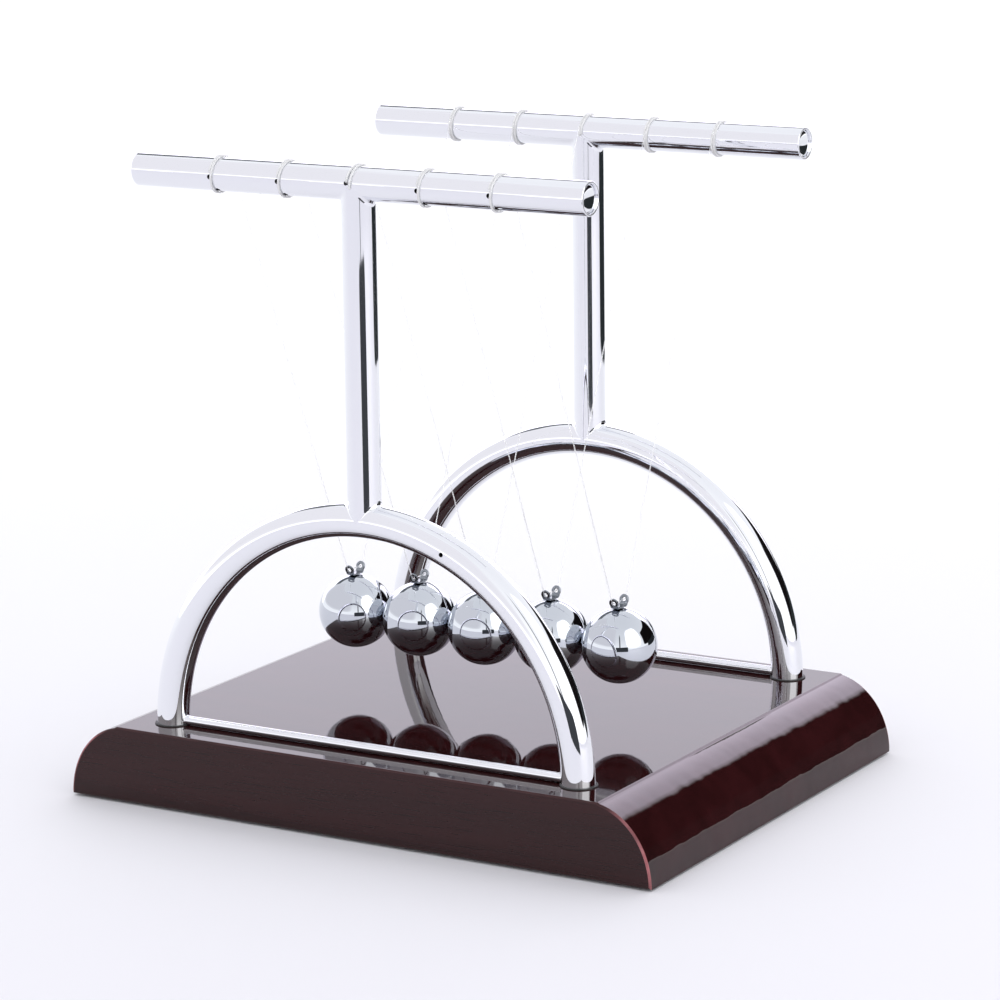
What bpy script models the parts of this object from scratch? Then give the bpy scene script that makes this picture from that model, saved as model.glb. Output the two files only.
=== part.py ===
"""Newton's cradle: a lacquered wooden base, two chrome tube frames and a row of hanging steel balls.

X runs along the row of balls, -Y is the front, +Z is up. The origin is the middle of the
underside, on the surface that the felt pads stand on. All sizes are metres.
"""

import math

import bmesh
import bpy
import numpy as np
from mathutils import Matrix, Vector

MM = 0.001

# Clearance that is kept between two pieces that touch on the real object
GAP = 0.3 * MM

# Base board
BASE_LENGTH = 173.0 * MM
BASE_DEPTH = 137.0 * MM
BASE_HEIGHT = 20.0 * MM
END_ROUND_RUN = 17.5 * MM
END_STEP = 14.0 * MM
END_STEP_SLOPE = 0.3 * MM
END_ARC_POINTS = 12

# Felt pads, set into shallow recesses under the board
PAD_RADIUS = 6.0 * MM
PAD_PROUD = 0.6 * MM
PAD_RECESS = 0.5 * MM
PAD_FROM_END = 11.0 * MM
PAD_FROM_FRONT = 12.0 * MM

# Chrome tube of both frames
TUBE_RADIUS = 4.3 * MM
TUBE_WALL = 0.9 * MM
TUBE_SIDES = 14
CUTTER_SIDES = 24
LEG_FROM_END = 25.7 * MM
FRAME_FROM_FRONT = 10.7 * MM
ARCH_CENTRE_RISE = -0.3 * MM
ARCH_STEPS = 26
CROWN_CUT_REACH = 0.2
CROWN_CUT_POINTS = 7
BAR_HEIGHT = 166.0 * MM
BAR_OVERHANG = 24.9 * MM
VENT_RADIUS = 0.5 * MM
VENT_ANGLE = math.radians(66.0)

# Tie rods, low across each frame
ROD_RADIUS = 1.2 * MM

# Plugs in the ends of the bars
PLUG_LENGTH = 5.0 * MM
PLUG_INSET = 0.3 * MM
PLUG_DOME = 0.4 * MM
PLUG_DOME_TURNS = (0.0, 0.5, 1.0)

# Black seat ring, screw, washer and threaded insert of each leg
SEAT_RIM = 0.6 * MM
SEAT_THICKNESS = 0.8 * MM
SCREW_RADIUS = 1.7 * MM
SCREW_LENGTH = 18.5 * MM
HEAD_RADIUS = 3.4 * MM
HEAD_HEIGHT = 2.4 * MM
SOCKET_RADIUS = 1.5 * MM
SOCKET_DEPTH = 1.4 * MM
WASHER_RADIUS = 4.8 * MM
WASHER_THICKNESS = 0.8 * MM
COUNTERBORE_DEPTH = 7.0 * MM
INSERT_LENGTH = 5.0 * MM
INSERT_SLACK = 0.25 * MM

# Balls
BALL_COUNT = 5
BALL_RADIUS = 10.0 * MM
BALL_CLEARANCE = 9.8 * MM
BALL_SEGMENTS = 24
BALL_RINGS = 12

# Two-eared clip on top of each ball
EAR_RADIUS = 1.35 * MM
EAR_HOLE_RADIUS = 0.6 * MM
EAR_THICKNESS = 0.6 * MM
EAR_APART = 2.75 * MM
EAR_RISE = 1.75 * MM
EAR_LEAN = math.radians(15.0)
EAR_SIDES = 12
CLIP_BRIDGE = 0.7 * MM
CLIP_HALF_LENGTH = 1.3 * MM

# Nylon thread, and the turns of it that are wound round each bar
THREAD_RADIUS = 0.16 * MM
THREAD_BEND = 0.6 * MM
THREAD_BEND_POINTS = 8
WINDING_WIDTH = 2.1 * MM
WINDING_INNER_WIDTH = 1.7 * MM
WINDING_OUTER_WIDTH = 1.5 * MM
WINDING_THICKNESS = 0.6 * MM
WINDING_SIDES = 16
WINDING_OFF_POST = 0.45 * MM
THREAD_HOLE_RADIUS = 0.6 * MM
HOLE_BELOW_SIDE = math.radians(58.0)
MIDDLE_HOLE_BELOW_SIDE = math.radians(19.3)

# Places that follow from the sizes above
BASE_TOP = PAD_PROUD + BASE_HEIGHT
PITCH = 2 * BALL_RADIUS + GAP
BALL_HEIGHT = BASE_TOP + BALL_CLEARANCE + BALL_RADIUS
BALL_TOP = BALL_HEIGHT + BALL_RADIUS
FRAME_Y = BASE_DEPTH / 2 - FRAME_FROM_FRONT
ARCH_RADIUS = BASE_LENGTH / 2 - LEG_FROM_END
ARCH_CENTRE = BASE_TOP + ARCH_CENTRE_RISE
BAR_LENGTH = (BALL_COUNT - 1) * PITCH + 2 * BAR_OVERHANG
TUBE_BORE = TUBE_RADIUS - TUBE_WALL
SEAT_RADIUS = TUBE_RADIUS + SEAT_RIM
WINDING_BORE = TUBE_RADIUS + GAP
WINDING_RADIUS = WINDING_BORE + WINDING_THICKNESS
EAR_HEIGHT = BALL_TOP + EAR_RISE
LEG_BOTTOM = BASE_TOP + GAP
LEG_X = math.sqrt(ARCH_RADIUS**2 - (LEG_BOTTOM - ARCH_CENTRE) ** 2)
BALL_PLACES = [(i - (BALL_COUNT - 1) / 2) * PITCH for i in range(BALL_COUNT)]
SIDES = {"front": -1, "rear": 1}
CORNERS = {
    "front_left": (-1, -1),
    "front_right": (1, -1),
    "rear_left": (-1, 1),
    "rear_right": (1, 1),
}


# ---------------------------------------------------------------- helpers


def clear_scene():
    for obj in list(bpy.data.objects):
        bpy.data.objects.remove(obj, do_unlink=True)


def material(name, colour, metallic, roughness):
    """One Principled material per name. colour is linear RGB."""
    made = bpy.data.materials.get(name)
    if made:
        return made
    made = bpy.data.materials.new(name)
    made.use_nodes = True
    shader = made.node_tree.nodes["Principled BSDF"]
    shader.inputs["Base Color"].default_value = (*colour, 1.0)
    shader.inputs["Metallic"].default_value = metallic
    shader.inputs["Roughness"].default_value = roughness
    return made


def lacquered_wood():
    return material("lacquered_wood", (0.052, 0.016, 0.015), 0.0, 0.08)


def chrome():
    return material("chrome_plate", (0.80, 0.80, 0.82), 1.0, 0.05)


def zinc_steel():
    return material("zinc_plated_steel", (0.55, 0.55, 0.53), 1.0, 0.35)


def black_rubber():
    return material("black_rubber", (0.012, 0.012, 0.012), 0.0, 0.60)


def black_felt():
    return material("black_felt", (0.010, 0.010, 0.011), 0.0, 0.95)


def nylon():
    return material("nylon_line", (0.82, 0.82, 0.80), 0.0, 0.30)


def add_object(name, mesh, finish, parent=None, smooth=True):
    """Puts a mesh in the scene. With a parent, the mesh stays where its points say."""
    obj = bpy.data.objects.new(name, mesh)
    bpy.context.scene.collection.objects.link(obj)
    mesh.materials.clear()
    mesh.materials.append(finish)
    if smooth:
        shade_smooth(mesh)
    if parent:
        obj.parent = parent
        obj.matrix_parent_inverse = parent.matrix_world.inverted()
    return obj


def shade_smooth(mesh, crease=math.radians(40.0)):
    """Smooth faces, with the edges that turn more than crease left sharp."""
    work = bmesh.new()
    work.from_mesh(mesh)
    for face in work.faces:
        face.smooth = True
    for edge in work.edges:
        edge.smooth = len(edge.link_faces) == 2 and edge.calc_face_angle(0.0) < crease
    work.to_mesh(mesh)
    work.free()


def finish_mesh(work, name):
    """Turns a bmesh into a mesh whose faces all point outwards."""
    bmesh.ops.recalc_face_normals(work, faces=work.faces)
    mesh = bpy.data.meshes.new(name)
    work.to_mesh(mesh)
    work.free()
    return mesh


def ring_of(work, centre, side, up, radius, count, phase=0.0):
    """A ring of vertices round centre, in the plane of side and up."""
    ring = []
    for k in range(count):
        turn = phase + 2 * math.pi * k / count
        point = centre + side * (radius * math.cos(turn)) + up * (radius * math.sin(turn))
        ring.append(work.verts.new(point))
    return ring


def bridge(work, first, second):
    """Quads between two rings of the same count."""
    count = len(first)
    for k in range(count):
        after = (k + 1) % count
        work.faces.new((first[k], first[after], second[after], second[k]))


def lathe(name, profile, count, hexed=()):
    """A solid turned round Z. profile holds (radius, z) from the bottom of the axis to its top.

    A profile that never reaches the axis is a ring, and its last point joins its first.
    The profile points whose places are in hexed are drawn as a hexagon.
    """
    work = bmesh.new()
    rings = []
    for place, (radius, z) in enumerate(profile):
        centre = Vector((0, 0, z))
        if radius == 0:
            rings.append([work.verts.new(centre)])
            continue
        ring = ring_of(work, centre, Vector((1, 0, 0)), Vector((0, 1, 0)), radius, count)
        if place in hexed:
            for vert in ring[1::2]:
                flat = math.cos(math.pi / 6)
                vert.co.x *= flat
                vert.co.y *= flat
        rings.append(ring)
    closed = all(len(ring) > 1 for ring in rings)
    pairs = list(zip(rings, rings[1:]))
    if closed:
        pairs.append((rings[-1], rings[0]))
    for first, second in pairs:
        if len(first) == 1 or len(second) == 1:
            pole = first[0] if len(first) == 1 else second[0]
            round_ring = second if len(first) == 1 else first
            for k in range(count):
                work.faces.new((pole, round_ring[k], round_ring[(k + 1) % count]))
        else:
            bridge(work, first, second)
    return finish_mesh(work, name)


def tube(name, path, radius, bore, count, flat_ends=False):
    """A tube along path, in a plane of constant Y. bore 0 makes a solid rod.

    flat_ends keeps both end rings level, for legs that stand on a flat face.
    """
    work = bmesh.new()
    across = Vector((0, 1, 0))
    outer = []
    inner = []
    for i, centre in enumerate(path):
        before = path[max(i - 1, 0)]
        after = path[min(i + 1, len(path) - 1)]
        along = (after - before).normalized()
        if flat_ends and i in (0, len(path) - 1):
            along = Vector((0, 0, 1)) * (1 if i == 0 else -1)
        up = along.cross(across)
        outer.append(ring_of(work, centre, across, up, radius, count))
        if bore:
            inner.append(ring_of(work, centre, across, up, bore, count))
    for first, second in zip(outer, outer[1:]):
        bridge(work, first, second)
    for first, second in zip(inner, inner[1:]):
        bridge(work, first, second)
    if bore:
        bridge(work, outer[0], inner[0])
        bridge(work, outer[-1], inner[-1])
    else:
        work.faces.new(outer[0])
        work.faces.new(outer[-1])
    return finish_mesh(work, name)


def turned_copy(mesh, name, matrix):
    """A copy of a mesh, moved by matrix."""
    copy = mesh.copy()
    copy.name = name
    copy.transform(matrix)
    return copy


def joined(name, meshes):
    """One mesh that holds several separate solids, for use as a cutter."""
    work = bmesh.new()
    for mesh in meshes:
        work.from_mesh(mesh)
        bpy.data.meshes.remove(mesh)
    made = bpy.data.meshes.new(name)
    work.to_mesh(made)
    work.free()
    return made


def cut(obj, name, mesh, operation="DIFFERENCE"):
    """Applies a Boolean with mesh to obj, and leaves the result in obj's own mesh."""
    tool = bpy.data.objects.new(name, mesh)
    bpy.context.scene.collection.objects.link(tool)
    modifier = obj.modifiers.new(name, "BOOLEAN")
    modifier.operation = operation
    modifier.solver = "EXACT"
    modifier.object = tool
    bpy.context.view_layer.update()
    graph = bpy.context.evaluated_depsgraph_get()
    result = bpy.data.meshes.new_from_object(obj.evaluated_get(graph))
    result.materials.clear()
    result.materials.append(obj.data.materials[0])
    obj.modifiers.remove(modifier)
    obj.data = result
    bpy.data.objects.remove(tool, do_unlink=True)
    shade_smooth(obj.data)


# ---------------------------------------------------------------- base


def base_outline():
    """The board's long section: a flat top, a small step, then each end rolled over to the floor."""
    half = BASE_LENGTH / 2
    step_turn = math.acos(1 - END_STEP / END_ROUND_RUN)
    right = [(half, PAD_PROUD)]
    for k in range(1, END_ARC_POINTS + 1):
        turn = step_turn * k / END_ARC_POINTS
        x = half - END_ROUND_RUN * (1 - math.cos(turn))
        z = PAD_PROUD + BASE_HEIGHT * math.sin(turn)
        right.append((x, z))
    right.append((half - END_STEP - END_STEP_SLOPE, BASE_TOP))
    left = [(-x, z) for x, z in reversed(right)]
    return right + left


def make_base():
    work = bmesh.new()
    front = []
    rear = []
    for x, z in base_outline():
        front.append(work.verts.new((x, -BASE_DEPTH / 2, z)))
        rear.append(work.verts.new((x, BASE_DEPTH / 2, z)))
    work.faces.new(front)
    work.faces.new(rear)
    bridge(work, front, rear)
    base = add_object("base", finish_mesh(work, "base"), lacquered_wood())

    underside = PAD_PROUD - GAP
    hole = SCREW_RADIUS + GAP
    stepped = [
        (0, underside),
        (WASHER_RADIUS + 2 * GAP, underside),
        (WASHER_RADIUS + 2 * GAP, PAD_PROUD + COUNTERBORE_DEPTH),
        (hole, PAD_PROUD + COUNTERBORE_DEPTH),
        (hole, BASE_TOP - SEAT_THICKNESS - GAP),
        (SEAT_RADIUS + GAP, BASE_TOP - SEAT_THICKNESS - GAP),
        (SEAT_RADIUS + GAP, BASE_TOP + GAP),
        (0, BASE_TOP + GAP),
    ]
    recess = [
        (0, underside),
        (PAD_RADIUS + GAP, underside),
        (PAD_RADIUS + GAP, PAD_PROUD + PAD_RECESS),
        (0, PAD_PROUD + PAD_RECESS),
    ]
    cutters = []
    for x, y in CORNERS.values():
        leg = lathe("leg_hole", stepped, 20)
        leg.transform(Matrix.Translation((x * LEG_X, y * FRAME_Y, 0)))
        cutters.append(leg)
        pad = lathe("pad_recess", recess, 20)
        pad.transform(Matrix.Translation((*pad_place(x, y), 0)))
        cutters.append(pad)
    cut(base, "base_cutter", joined("base_cutter", cutters))


def pad_place(x, y):
    return x * (BASE_LENGTH / 2 - PAD_FROM_END), y * (BASE_DEPTH / 2 - PAD_FROM_FRONT)


def make_pads():
    top = PAD_PROUD + PAD_RECESS - GAP
    profile = [(0, 0), (PAD_RADIUS, 0), (PAD_RADIUS, top), (0, top)]
    for corner, (x, y) in CORNERS.items():
        pad = add_object(f"foot_pad_{corner}", lathe("foot_pad", profile, 20), black_felt())
        pad.location = (*pad_place(x, y), 0)


def make_leg_fixings():
    """The seat ring, insert, screw and washer of each leg, each turned round the leg's own axis."""
    hole = SCREW_RADIUS + GAP
    seat_low = BASE_TOP - SEAT_THICKNESS
    seat = [(hole, seat_low), (SEAT_RADIUS, seat_low), (SEAT_RADIUS, BASE_TOP), (hole, BASE_TOP)]
    insert_radius = TUBE_BORE - GAP - INSERT_SLACK
    insert_top = LEG_BOTTOM + INSERT_LENGTH
    insert = [
        (hole, LEG_BOTTOM),
        (insert_radius, LEG_BOTTOM),
        (insert_radius, insert_top),
        (hole, insert_top),
    ]
    washer_top = PAD_PROUD + COUNTERBORE_DEPTH - GAP
    washer_low = washer_top - WASHER_THICKNESS
    washer = [
        (hole, washer_low),
        (WASHER_RADIUS, washer_low),
        (WASHER_RADIUS, washer_top),
        (hole, washer_top),
    ]
    head_top = washer_low - GAP
    head_low = head_top - HEAD_HEIGHT
    screw = [
        (0, head_low + SOCKET_DEPTH),
        (SOCKET_RADIUS, head_low + SOCKET_DEPTH),
        (SOCKET_RADIUS, head_low),
        (HEAD_RADIUS, head_low),
        (HEAD_RADIUS, head_top),
        (SCREW_RADIUS, head_top),
        (SCREW_RADIUS, head_top + SCREW_LENGTH),
        (0, head_top + SCREW_LENGTH),
    ]
    for corner, (x, y) in CORNERS.items():
        place = (x * LEG_X, y * FRAME_Y, 0)
        pieces = [
            add_object(f"leg_seat_{corner}", lathe("leg_seat", seat, 20), black_rubber()),
            add_object(f"leg_insert_{corner}", lathe("leg_insert", insert, 12), zinc_steel()),
            add_object(f"leg_washer_{corner}", lathe("leg_washer", washer, 16), zinc_steel()),
            add_object(f"leg_screw_{corner}", lathe("leg_screw", screw, 12, (1, 2)), zinc_steel()),
        ]
        for piece in pieces:
            piece.location = place


# ---------------------------------------------------------------- frames


def arch_point(turn, y):
    """A point of the arch's centreline. turn 0 is the right-hand side, pi the left."""
    return Vector((ARCH_RADIUS * math.cos(turn), y, ARCH_CENTRE + ARCH_RADIUS * math.sin(turn)))


def arch_path(y):
    start = math.asin((LEG_BOTTOM - ARCH_CENTRE) / ARCH_RADIUS)
    turns = np.linspace(start, math.pi - start, ARCH_STEPS + 1)
    return [arch_point(turn, y) for turn in turns]


def make_arch(side, sign):
    y = sign * FRAME_Y
    mesh = tube(f"{side}_arch", arch_path(y), TUBE_RADIUS, TUBE_BORE, TUBE_SIDES, True)
    arch = add_object(f"{side}_arch", mesh, chrome())
    vent = lathe("vent", [(0, 0), (VENT_RADIUS, 0), (VENT_RADIUS, 1), (0, 1)], 10)
    wall = arch_point(VENT_ANGLE, y)
    outward = Matrix.Rotation(math.pi / 2 * -sign, 4, "X")
    reach = Matrix.Diagonal((1, 1, TUBE_RADIUS + 2 * GAP, 1))
    vent.transform(Matrix.Translation(wall) @ outward @ reach)
    cut(arch, "vent_cutter", vent)


def straight(start, end):
    return [Vector(start), Vector(end)]


def cope_cutters(y):
    """What the post is cut back from: the crown of the arch and the underside of the bar."""
    turns = np.linspace(-CROWN_CUT_REACH, CROWN_CUT_REACH, CROWN_CUT_POINTS)
    crown = [arch_point(math.pi / 2 + turn, y) for turn in turns]
    bar = straight((-4 * TUBE_RADIUS, y, BAR_HEIGHT), (4 * TUBE_RADIUS, y, BAR_HEIGHT))
    return [
        tube("crown_cope", crown, TUBE_RADIUS + GAP, 0, CUTTER_SIDES),
        tube("bar_cope", bar, TUBE_RADIUS + GAP, 0, CUTTER_SIDES),
    ]


def upright_tube(name, y, low, high):
    """A tube that stands on Z, with its axis at x = 0."""
    profile = [(TUBE_BORE, low), (TUBE_RADIUS, low), (TUBE_RADIUS, high), (TUBE_BORE, high)]
    mesh = lathe(name, profile, TUBE_SIDES + 2)
    mesh.transform(Matrix.Translation((0, y, 0)))
    return mesh


def make_post(side, sign):
    y = sign * FRAME_Y
    mesh = upright_tube(f"{side}_post", y, ARCH_CENTRE + ARCH_RADIUS, BAR_HEIGHT)
    post = add_object(f"{side}_post", mesh, chrome())
    cut(post, "post_cutter", joined("post_cutter", cope_cutters(y)))


def over_post(x):
    """Whether the ball at x hangs from the place where the post meets the bar."""
    return abs(x) < TUBE_RADIUS


def hole_below_side(x):
    """How far round from the outward side the thread's hole is. The post takes the lowest place."""
    return MIDDLE_HOLE_BELOW_SIDE if over_post(x) else HOLE_BELOW_SIDE


def make_bar(side, sign):
    y = sign * FRAME_Y
    half = BAR_LENGTH / 2
    path = straight((-half, y, BAR_HEIGHT), (half, y, BAR_HEIGHT))
    bar = add_object(
        f"{side}_bar", tube(f"{side}_bar", path, TUBE_RADIUS, TUBE_BORE, TUBE_SIDES + 2), chrome()
    )
    drills = []
    for x in BALL_PLACES:
        drill = lathe("drill", [(0, 0), (1, 0), (1, 1), (0, 1)], 8)
        size = Matrix.Diagonal((THREAD_HOLE_RADIUS, THREAD_HOLE_RADIUS, 2 * TUBE_RADIUS, 1))
        swing = math.pi / 2 + hole_below_side(x)
        turn = Matrix.Rotation(-sign * swing, 4, "X")
        drill.transform(Matrix.Translation((x, y, BAR_HEIGHT)) @ turn @ size)
        drills.append(drill)
    cut(bar, "drill_cutter", joined("drill_cutter", drills))


def make_plugs(side, sign):
    """A domed plug pressed into each end of a bar."""
    radius = TUBE_BORE - GAP
    dome = [(radius * math.cos(t), PLUG_DOME * math.sin(t)) for t in PLUG_DOME_TURNS]
    profile = [(0, -PLUG_LENGTH), (radius, -PLUG_LENGTH), *dome, (0, PLUG_DOME)]
    face = BAR_LENGTH / 2 - PLUG_INSET - PLUG_DOME
    for end, way in (("left", -1), ("right", 1)):
        plug = add_object(f"{side}_plug_{end}", lathe("plug", profile, 16), chrome())
        plug.location = (way * face, sign * FRAME_Y, BAR_HEIGHT)
        plug.rotation_euler = (0, way * math.pi / 2, 0)


def make_tie_rod(side, sign):
    """A thin rod low across the frame. Its ends stop just short of the legs."""
    z = BASE_TOP + GAP + ROD_RADIUS
    reach = min(
        math.sqrt(ARCH_RADIUS**2 - (z - ARCH_CENTRE) ** 2) - TUBE_RADIUS - GAP,
        LEG_X - TUBE_RADIUS - GAP,
    )
    path = straight((-reach, sign * FRAME_Y, z), (reach, sign * FRAME_Y, z))
    add_object(f"{side}_tie_rod", tube(f"{side}_tie_rod", path, ROD_RADIUS, 0, 12), chrome())


# ---------------------------------------------------------------- thread and windings


def tangent_from(point, centre, radius):
    """Where the line from point touches a circle in the YZ plane, on the side nearer y = 0."""
    away = centre - point
    distance = away.length
    half_angle = math.asin(radius / distance)
    reach = math.sqrt(distance**2 - radius**2)
    heading = math.atan2(away.z, away.y)
    towards_middle = half_angle if centre.y > 0 else -half_angle
    turn = heading + towards_middle
    return point + Vector((0, math.cos(turn), math.sin(turn))) * reach


def thread_corner(sign):
    """Where the thread turns up, just outside the ear of its own side."""
    outside = EAR_THICKNESS / 2 + GAP + THREAD_RADIUS
    return Vector((0, sign * (EAR_APART + outside / math.cos(EAR_LEAN)), EAR_HEIGHT))


def thread_leaves(sign):
    """Where the thread leaves its winding, which is where it swings."""
    centre = Vector((0, sign * FRAME_Y, BAR_HEIGHT))
    return tangent_from(thread_corner(sign), centre, WINDING_RADIUS - THREAD_RADIUS)


def thread_start(sign):
    """The upper end of the free thread, just clear of the winding."""
    leaves = thread_leaves(sign)
    down = (thread_corner(sign) - leaves).normalized()
    reach = WINDING_RADIUS + THREAD_RADIUS + GAP
    lever = WINDING_RADIUS - THREAD_RADIUS
    return leaves + down * math.sqrt(reach**2 - lever**2)


def thread_points():
    """The route of one thread: down from the front bar, through both ears, and up to the rear bar."""
    half = []
    corner = thread_corner(-1)
    start = thread_start(-1)
    up = (start - corner).normalized()
    inward = Vector((0, 1, 0))
    half.append(start)
    for share in np.linspace(0, 1, THREAD_BEND_POINTS):
        fall = THREAD_BEND * (1 - share) ** 2
        run = THREAD_BEND * share**2
        half.append(corner + up * fall + inward * run)
    mirrored = [Vector((p.x, -p.y, p.z)) for p in reversed(half)]
    return half + mirrored


def pivot_empty(number, x):
    """An empty on the axis that one ball swings about."""
    empty = bpy.data.objects.new(f"pivot_{number}", None)
    bpy.context.scene.collection.objects.link(empty)
    empty.location = (x, 0, thread_leaves(-1).z)
    bpy.context.view_layer.update()
    return empty


def make_thread(number, x, pivot):
    curve = bpy.data.curves.new(f"thread_{number}", "CURVE")
    curve.dimensions = "3D"
    curve.bevel_depth = THREAD_RADIUS
    curve.bevel_resolution = 2
    curve.use_fill_caps = True
    points = thread_points()
    spline = curve.splines.new("POLY")
    spline.points.add(len(points) - 1)
    for target, point in zip(spline.points, points):
        target.co = (point.x + x, point.y, point.z, 1)
    obj = bpy.data.objects.new(f"thread_{number}", curve)
    bpy.context.scene.collection.objects.link(obj)
    curve.materials.append(nylon())
    obj.parent = pivot
    obj.matrix_parent_inverse = pivot.matrix_world.inverted()


def make_winding(side, sign, number, x):
    """A flat band of wound thread round a bar. It stops at each side of the post, where there is one."""
    middle = (WINDING_BORE + WINDING_RADIUS) / 2
    section = [
        (WINDING_BORE, -WINDING_INNER_WIDTH / 2),
        (middle, -WINDING_WIDTH / 2),
        (WINDING_RADIUS, -WINDING_OUTER_WIDTH / 2),
        (WINDING_RADIUS, WINDING_OUTER_WIDTH / 2),
        (middle, WINDING_WIDTH / 2),
        (WINDING_BORE, WINDING_INNER_WIDTH / 2),
    ]
    work = bmesh.new()
    rings = []
    if over_post(x):
        post_edge = math.acos(TUBE_RADIUS / (TUBE_RADIUS + GAP))
        below = post_edge - WINDING_OFF_POST / WINDING_BORE
        turns = np.linspace(-below, math.pi + below, WINDING_SIDES)
    else:
        turns = np.linspace(0, 2 * math.pi, WINDING_SIDES, endpoint=False)
    for turn in turns:
        ring = []
        for radius, shift in section:
            y = sign * FRAME_Y + radius * math.cos(turn)
            z = BAR_HEIGHT + radius * math.sin(turn)
            ring.append(work.verts.new((x + shift, y, z)))
        rings.append(ring)
    for first, second in zip(rings, rings[1:]):
        bridge(work, first, second)
    if over_post(x):
        work.faces.new(rings[0])
        work.faces.new(rings[-1])
    else:
        bridge(work, rings[-1], rings[0])
    add_object(f"{side}_winding_{number}", finish_mesh(work, "winding"), nylon())


# ---------------------------------------------------------------- balls and clips


def ear_mesh(sign):
    """One ear: a round eye with a hole, running down to a square root inside the bridge."""
    work = bmesh.new()
    centre = Vector((0, sign * EAR_APART, EAR_HEIGHT))
    up = Vector((0, sign * math.sin(EAR_LEAN), math.cos(EAR_LEAN)))
    side = Vector((1, 0, 0))
    facing = side.cross(up)
    root = (EAR_HEIGHT - BALL_TOP - GAP - CLIP_BRIDGE / 2) / math.cos(EAR_LEAN)
    loops = []
    for depth in (-EAR_THICKNESS / 2, EAR_THICKNESS / 2):
        origin = centre + facing * depth
        hole = []
        rim = []
        for k in range(EAR_SIDES):
            turn = 2 * math.pi * k / EAR_SIDES
            cos, sin = math.cos(turn), math.sin(turn)
            hole.append(work.verts.new(origin + (side * cos + up * sin) * EAR_HOLE_RADIUS))
            if sin > -0.01:
                rim.append(work.verts.new(origin + (side * cos + up * sin) * EAR_RADIUS))
            else:
                across = max(-1.0, min(1.0, cos / -sin)) * EAR_RADIUS
                down = root if abs(cos) <= -sin else root * -sin / abs(cos)
                rim.append(work.verts.new(origin + side * across - up * down))
        loops.append((hole, rim))
    (hole_a, rim_a), (hole_b, rim_b) = loops
    bridge(work, hole_a, rim_a)
    bridge(work, hole_b, rim_b)
    bridge(work, hole_a, hole_b)
    bridge(work, rim_a, rim_b)
    return finish_mesh(work, "ear")


def clip_mesh():
    """Both ears on a small bridge, whose underside follows the ball."""
    low = BALL_TOP - 2 * GAP
    high = BALL_TOP + GAP + CLIP_BRIDGE
    foot = EAR_APART - EAR_RISE * math.tan(EAR_LEAN) + EAR_THICKNESS / 4
    work = bmesh.new()
    bmesh.ops.create_cube(work, size=1)
    size = Matrix.Diagonal((2 * CLIP_HALF_LENGTH, 2 * foot, high - low, 1))
    place = Matrix.Translation((0, 0, (high + low) / 2))
    bmesh.ops.transform(work, matrix=place @ size, verts=work.verts)
    clip = add_object("clip_work", finish_mesh(work, "clip"), chrome())
    for sign in SIDES.values():
        cut(clip, "ear_tool", ear_mesh(sign), "UNION")
    work = bmesh.new()
    bmesh.ops.create_uvsphere(work, u_segments=32, v_segments=24, radius=BALL_RADIUS + GAP)
    bmesh.ops.translate(work, verts=work.verts, vec=(0, 0, BALL_HEIGHT))
    cut(clip, "ball_tool", finish_mesh(work, "ball_tool"))
    mesh = clip.data
    bpy.data.objects.remove(clip, do_unlink=True)
    return mesh


def make_balls():
    clip = clip_mesh()
    for number, x in enumerate(BALL_PLACES, 1):
        pivot = pivot_empty(number, x)
        work = bmesh.new()
        bmesh.ops.create_uvsphere(
            work, u_segments=BALL_SEGMENTS, v_segments=BALL_RINGS, radius=BALL_RADIUS
        )
        bmesh.ops.translate(work, verts=work.verts, vec=(x, 0, BALL_HEIGHT))
        add_object(f"ball_{number}", finish_mesh(work, "ball"), chrome(), pivot)
        moved = turned_copy(clip, f"clip_{number}", Matrix.Translation((x, 0, 0)))
        add_object(f"clip_{number}", moved, chrome(), pivot)
        make_thread(number, x, pivot)
    bpy.data.meshes.remove(clip)


def main():
    clear_scene()
    make_base()
    make_pads()
    make_leg_fixings()
    for side, sign in SIDES.items():
        make_arch(side, sign)
        make_post(side, sign)
        make_bar(side, sign)
        make_plugs(side, sign)
        make_tie_rod(side, sign)
        for number, x in enumerate(BALL_PLACES, 1):
            make_winding(side, sign, number, x)
    make_balls()


main()
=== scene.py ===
# %% [markdown]
# # A desk cradle of five steel balls
# The cradle is a lacquered wooden board, two chrome tube frames and five plated steel balls,
# each hanging from a nylon line in a V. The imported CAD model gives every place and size, and
# this file builds the finished pieces on it: smooth tubes, weld beads, wound line, wood grain.

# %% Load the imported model
import math

import bmesh
import bpy
from mathutils import Matrix, Vector


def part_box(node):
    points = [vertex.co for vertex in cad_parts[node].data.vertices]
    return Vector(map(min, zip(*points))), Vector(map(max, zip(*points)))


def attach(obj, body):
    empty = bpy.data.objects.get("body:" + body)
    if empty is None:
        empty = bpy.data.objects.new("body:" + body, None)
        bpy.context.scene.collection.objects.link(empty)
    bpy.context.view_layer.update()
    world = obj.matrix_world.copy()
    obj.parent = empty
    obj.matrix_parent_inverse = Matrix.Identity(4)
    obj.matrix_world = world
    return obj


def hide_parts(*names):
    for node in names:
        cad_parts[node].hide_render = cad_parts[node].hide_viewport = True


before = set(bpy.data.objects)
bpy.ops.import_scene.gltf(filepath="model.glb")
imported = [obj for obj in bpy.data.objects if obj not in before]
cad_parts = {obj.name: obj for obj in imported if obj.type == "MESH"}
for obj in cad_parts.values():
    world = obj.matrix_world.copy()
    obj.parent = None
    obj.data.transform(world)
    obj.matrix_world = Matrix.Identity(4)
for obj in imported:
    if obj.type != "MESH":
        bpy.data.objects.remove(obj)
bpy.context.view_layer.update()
MM = 0.001
SIDES = {"front": -1, "rear": 1}

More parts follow.
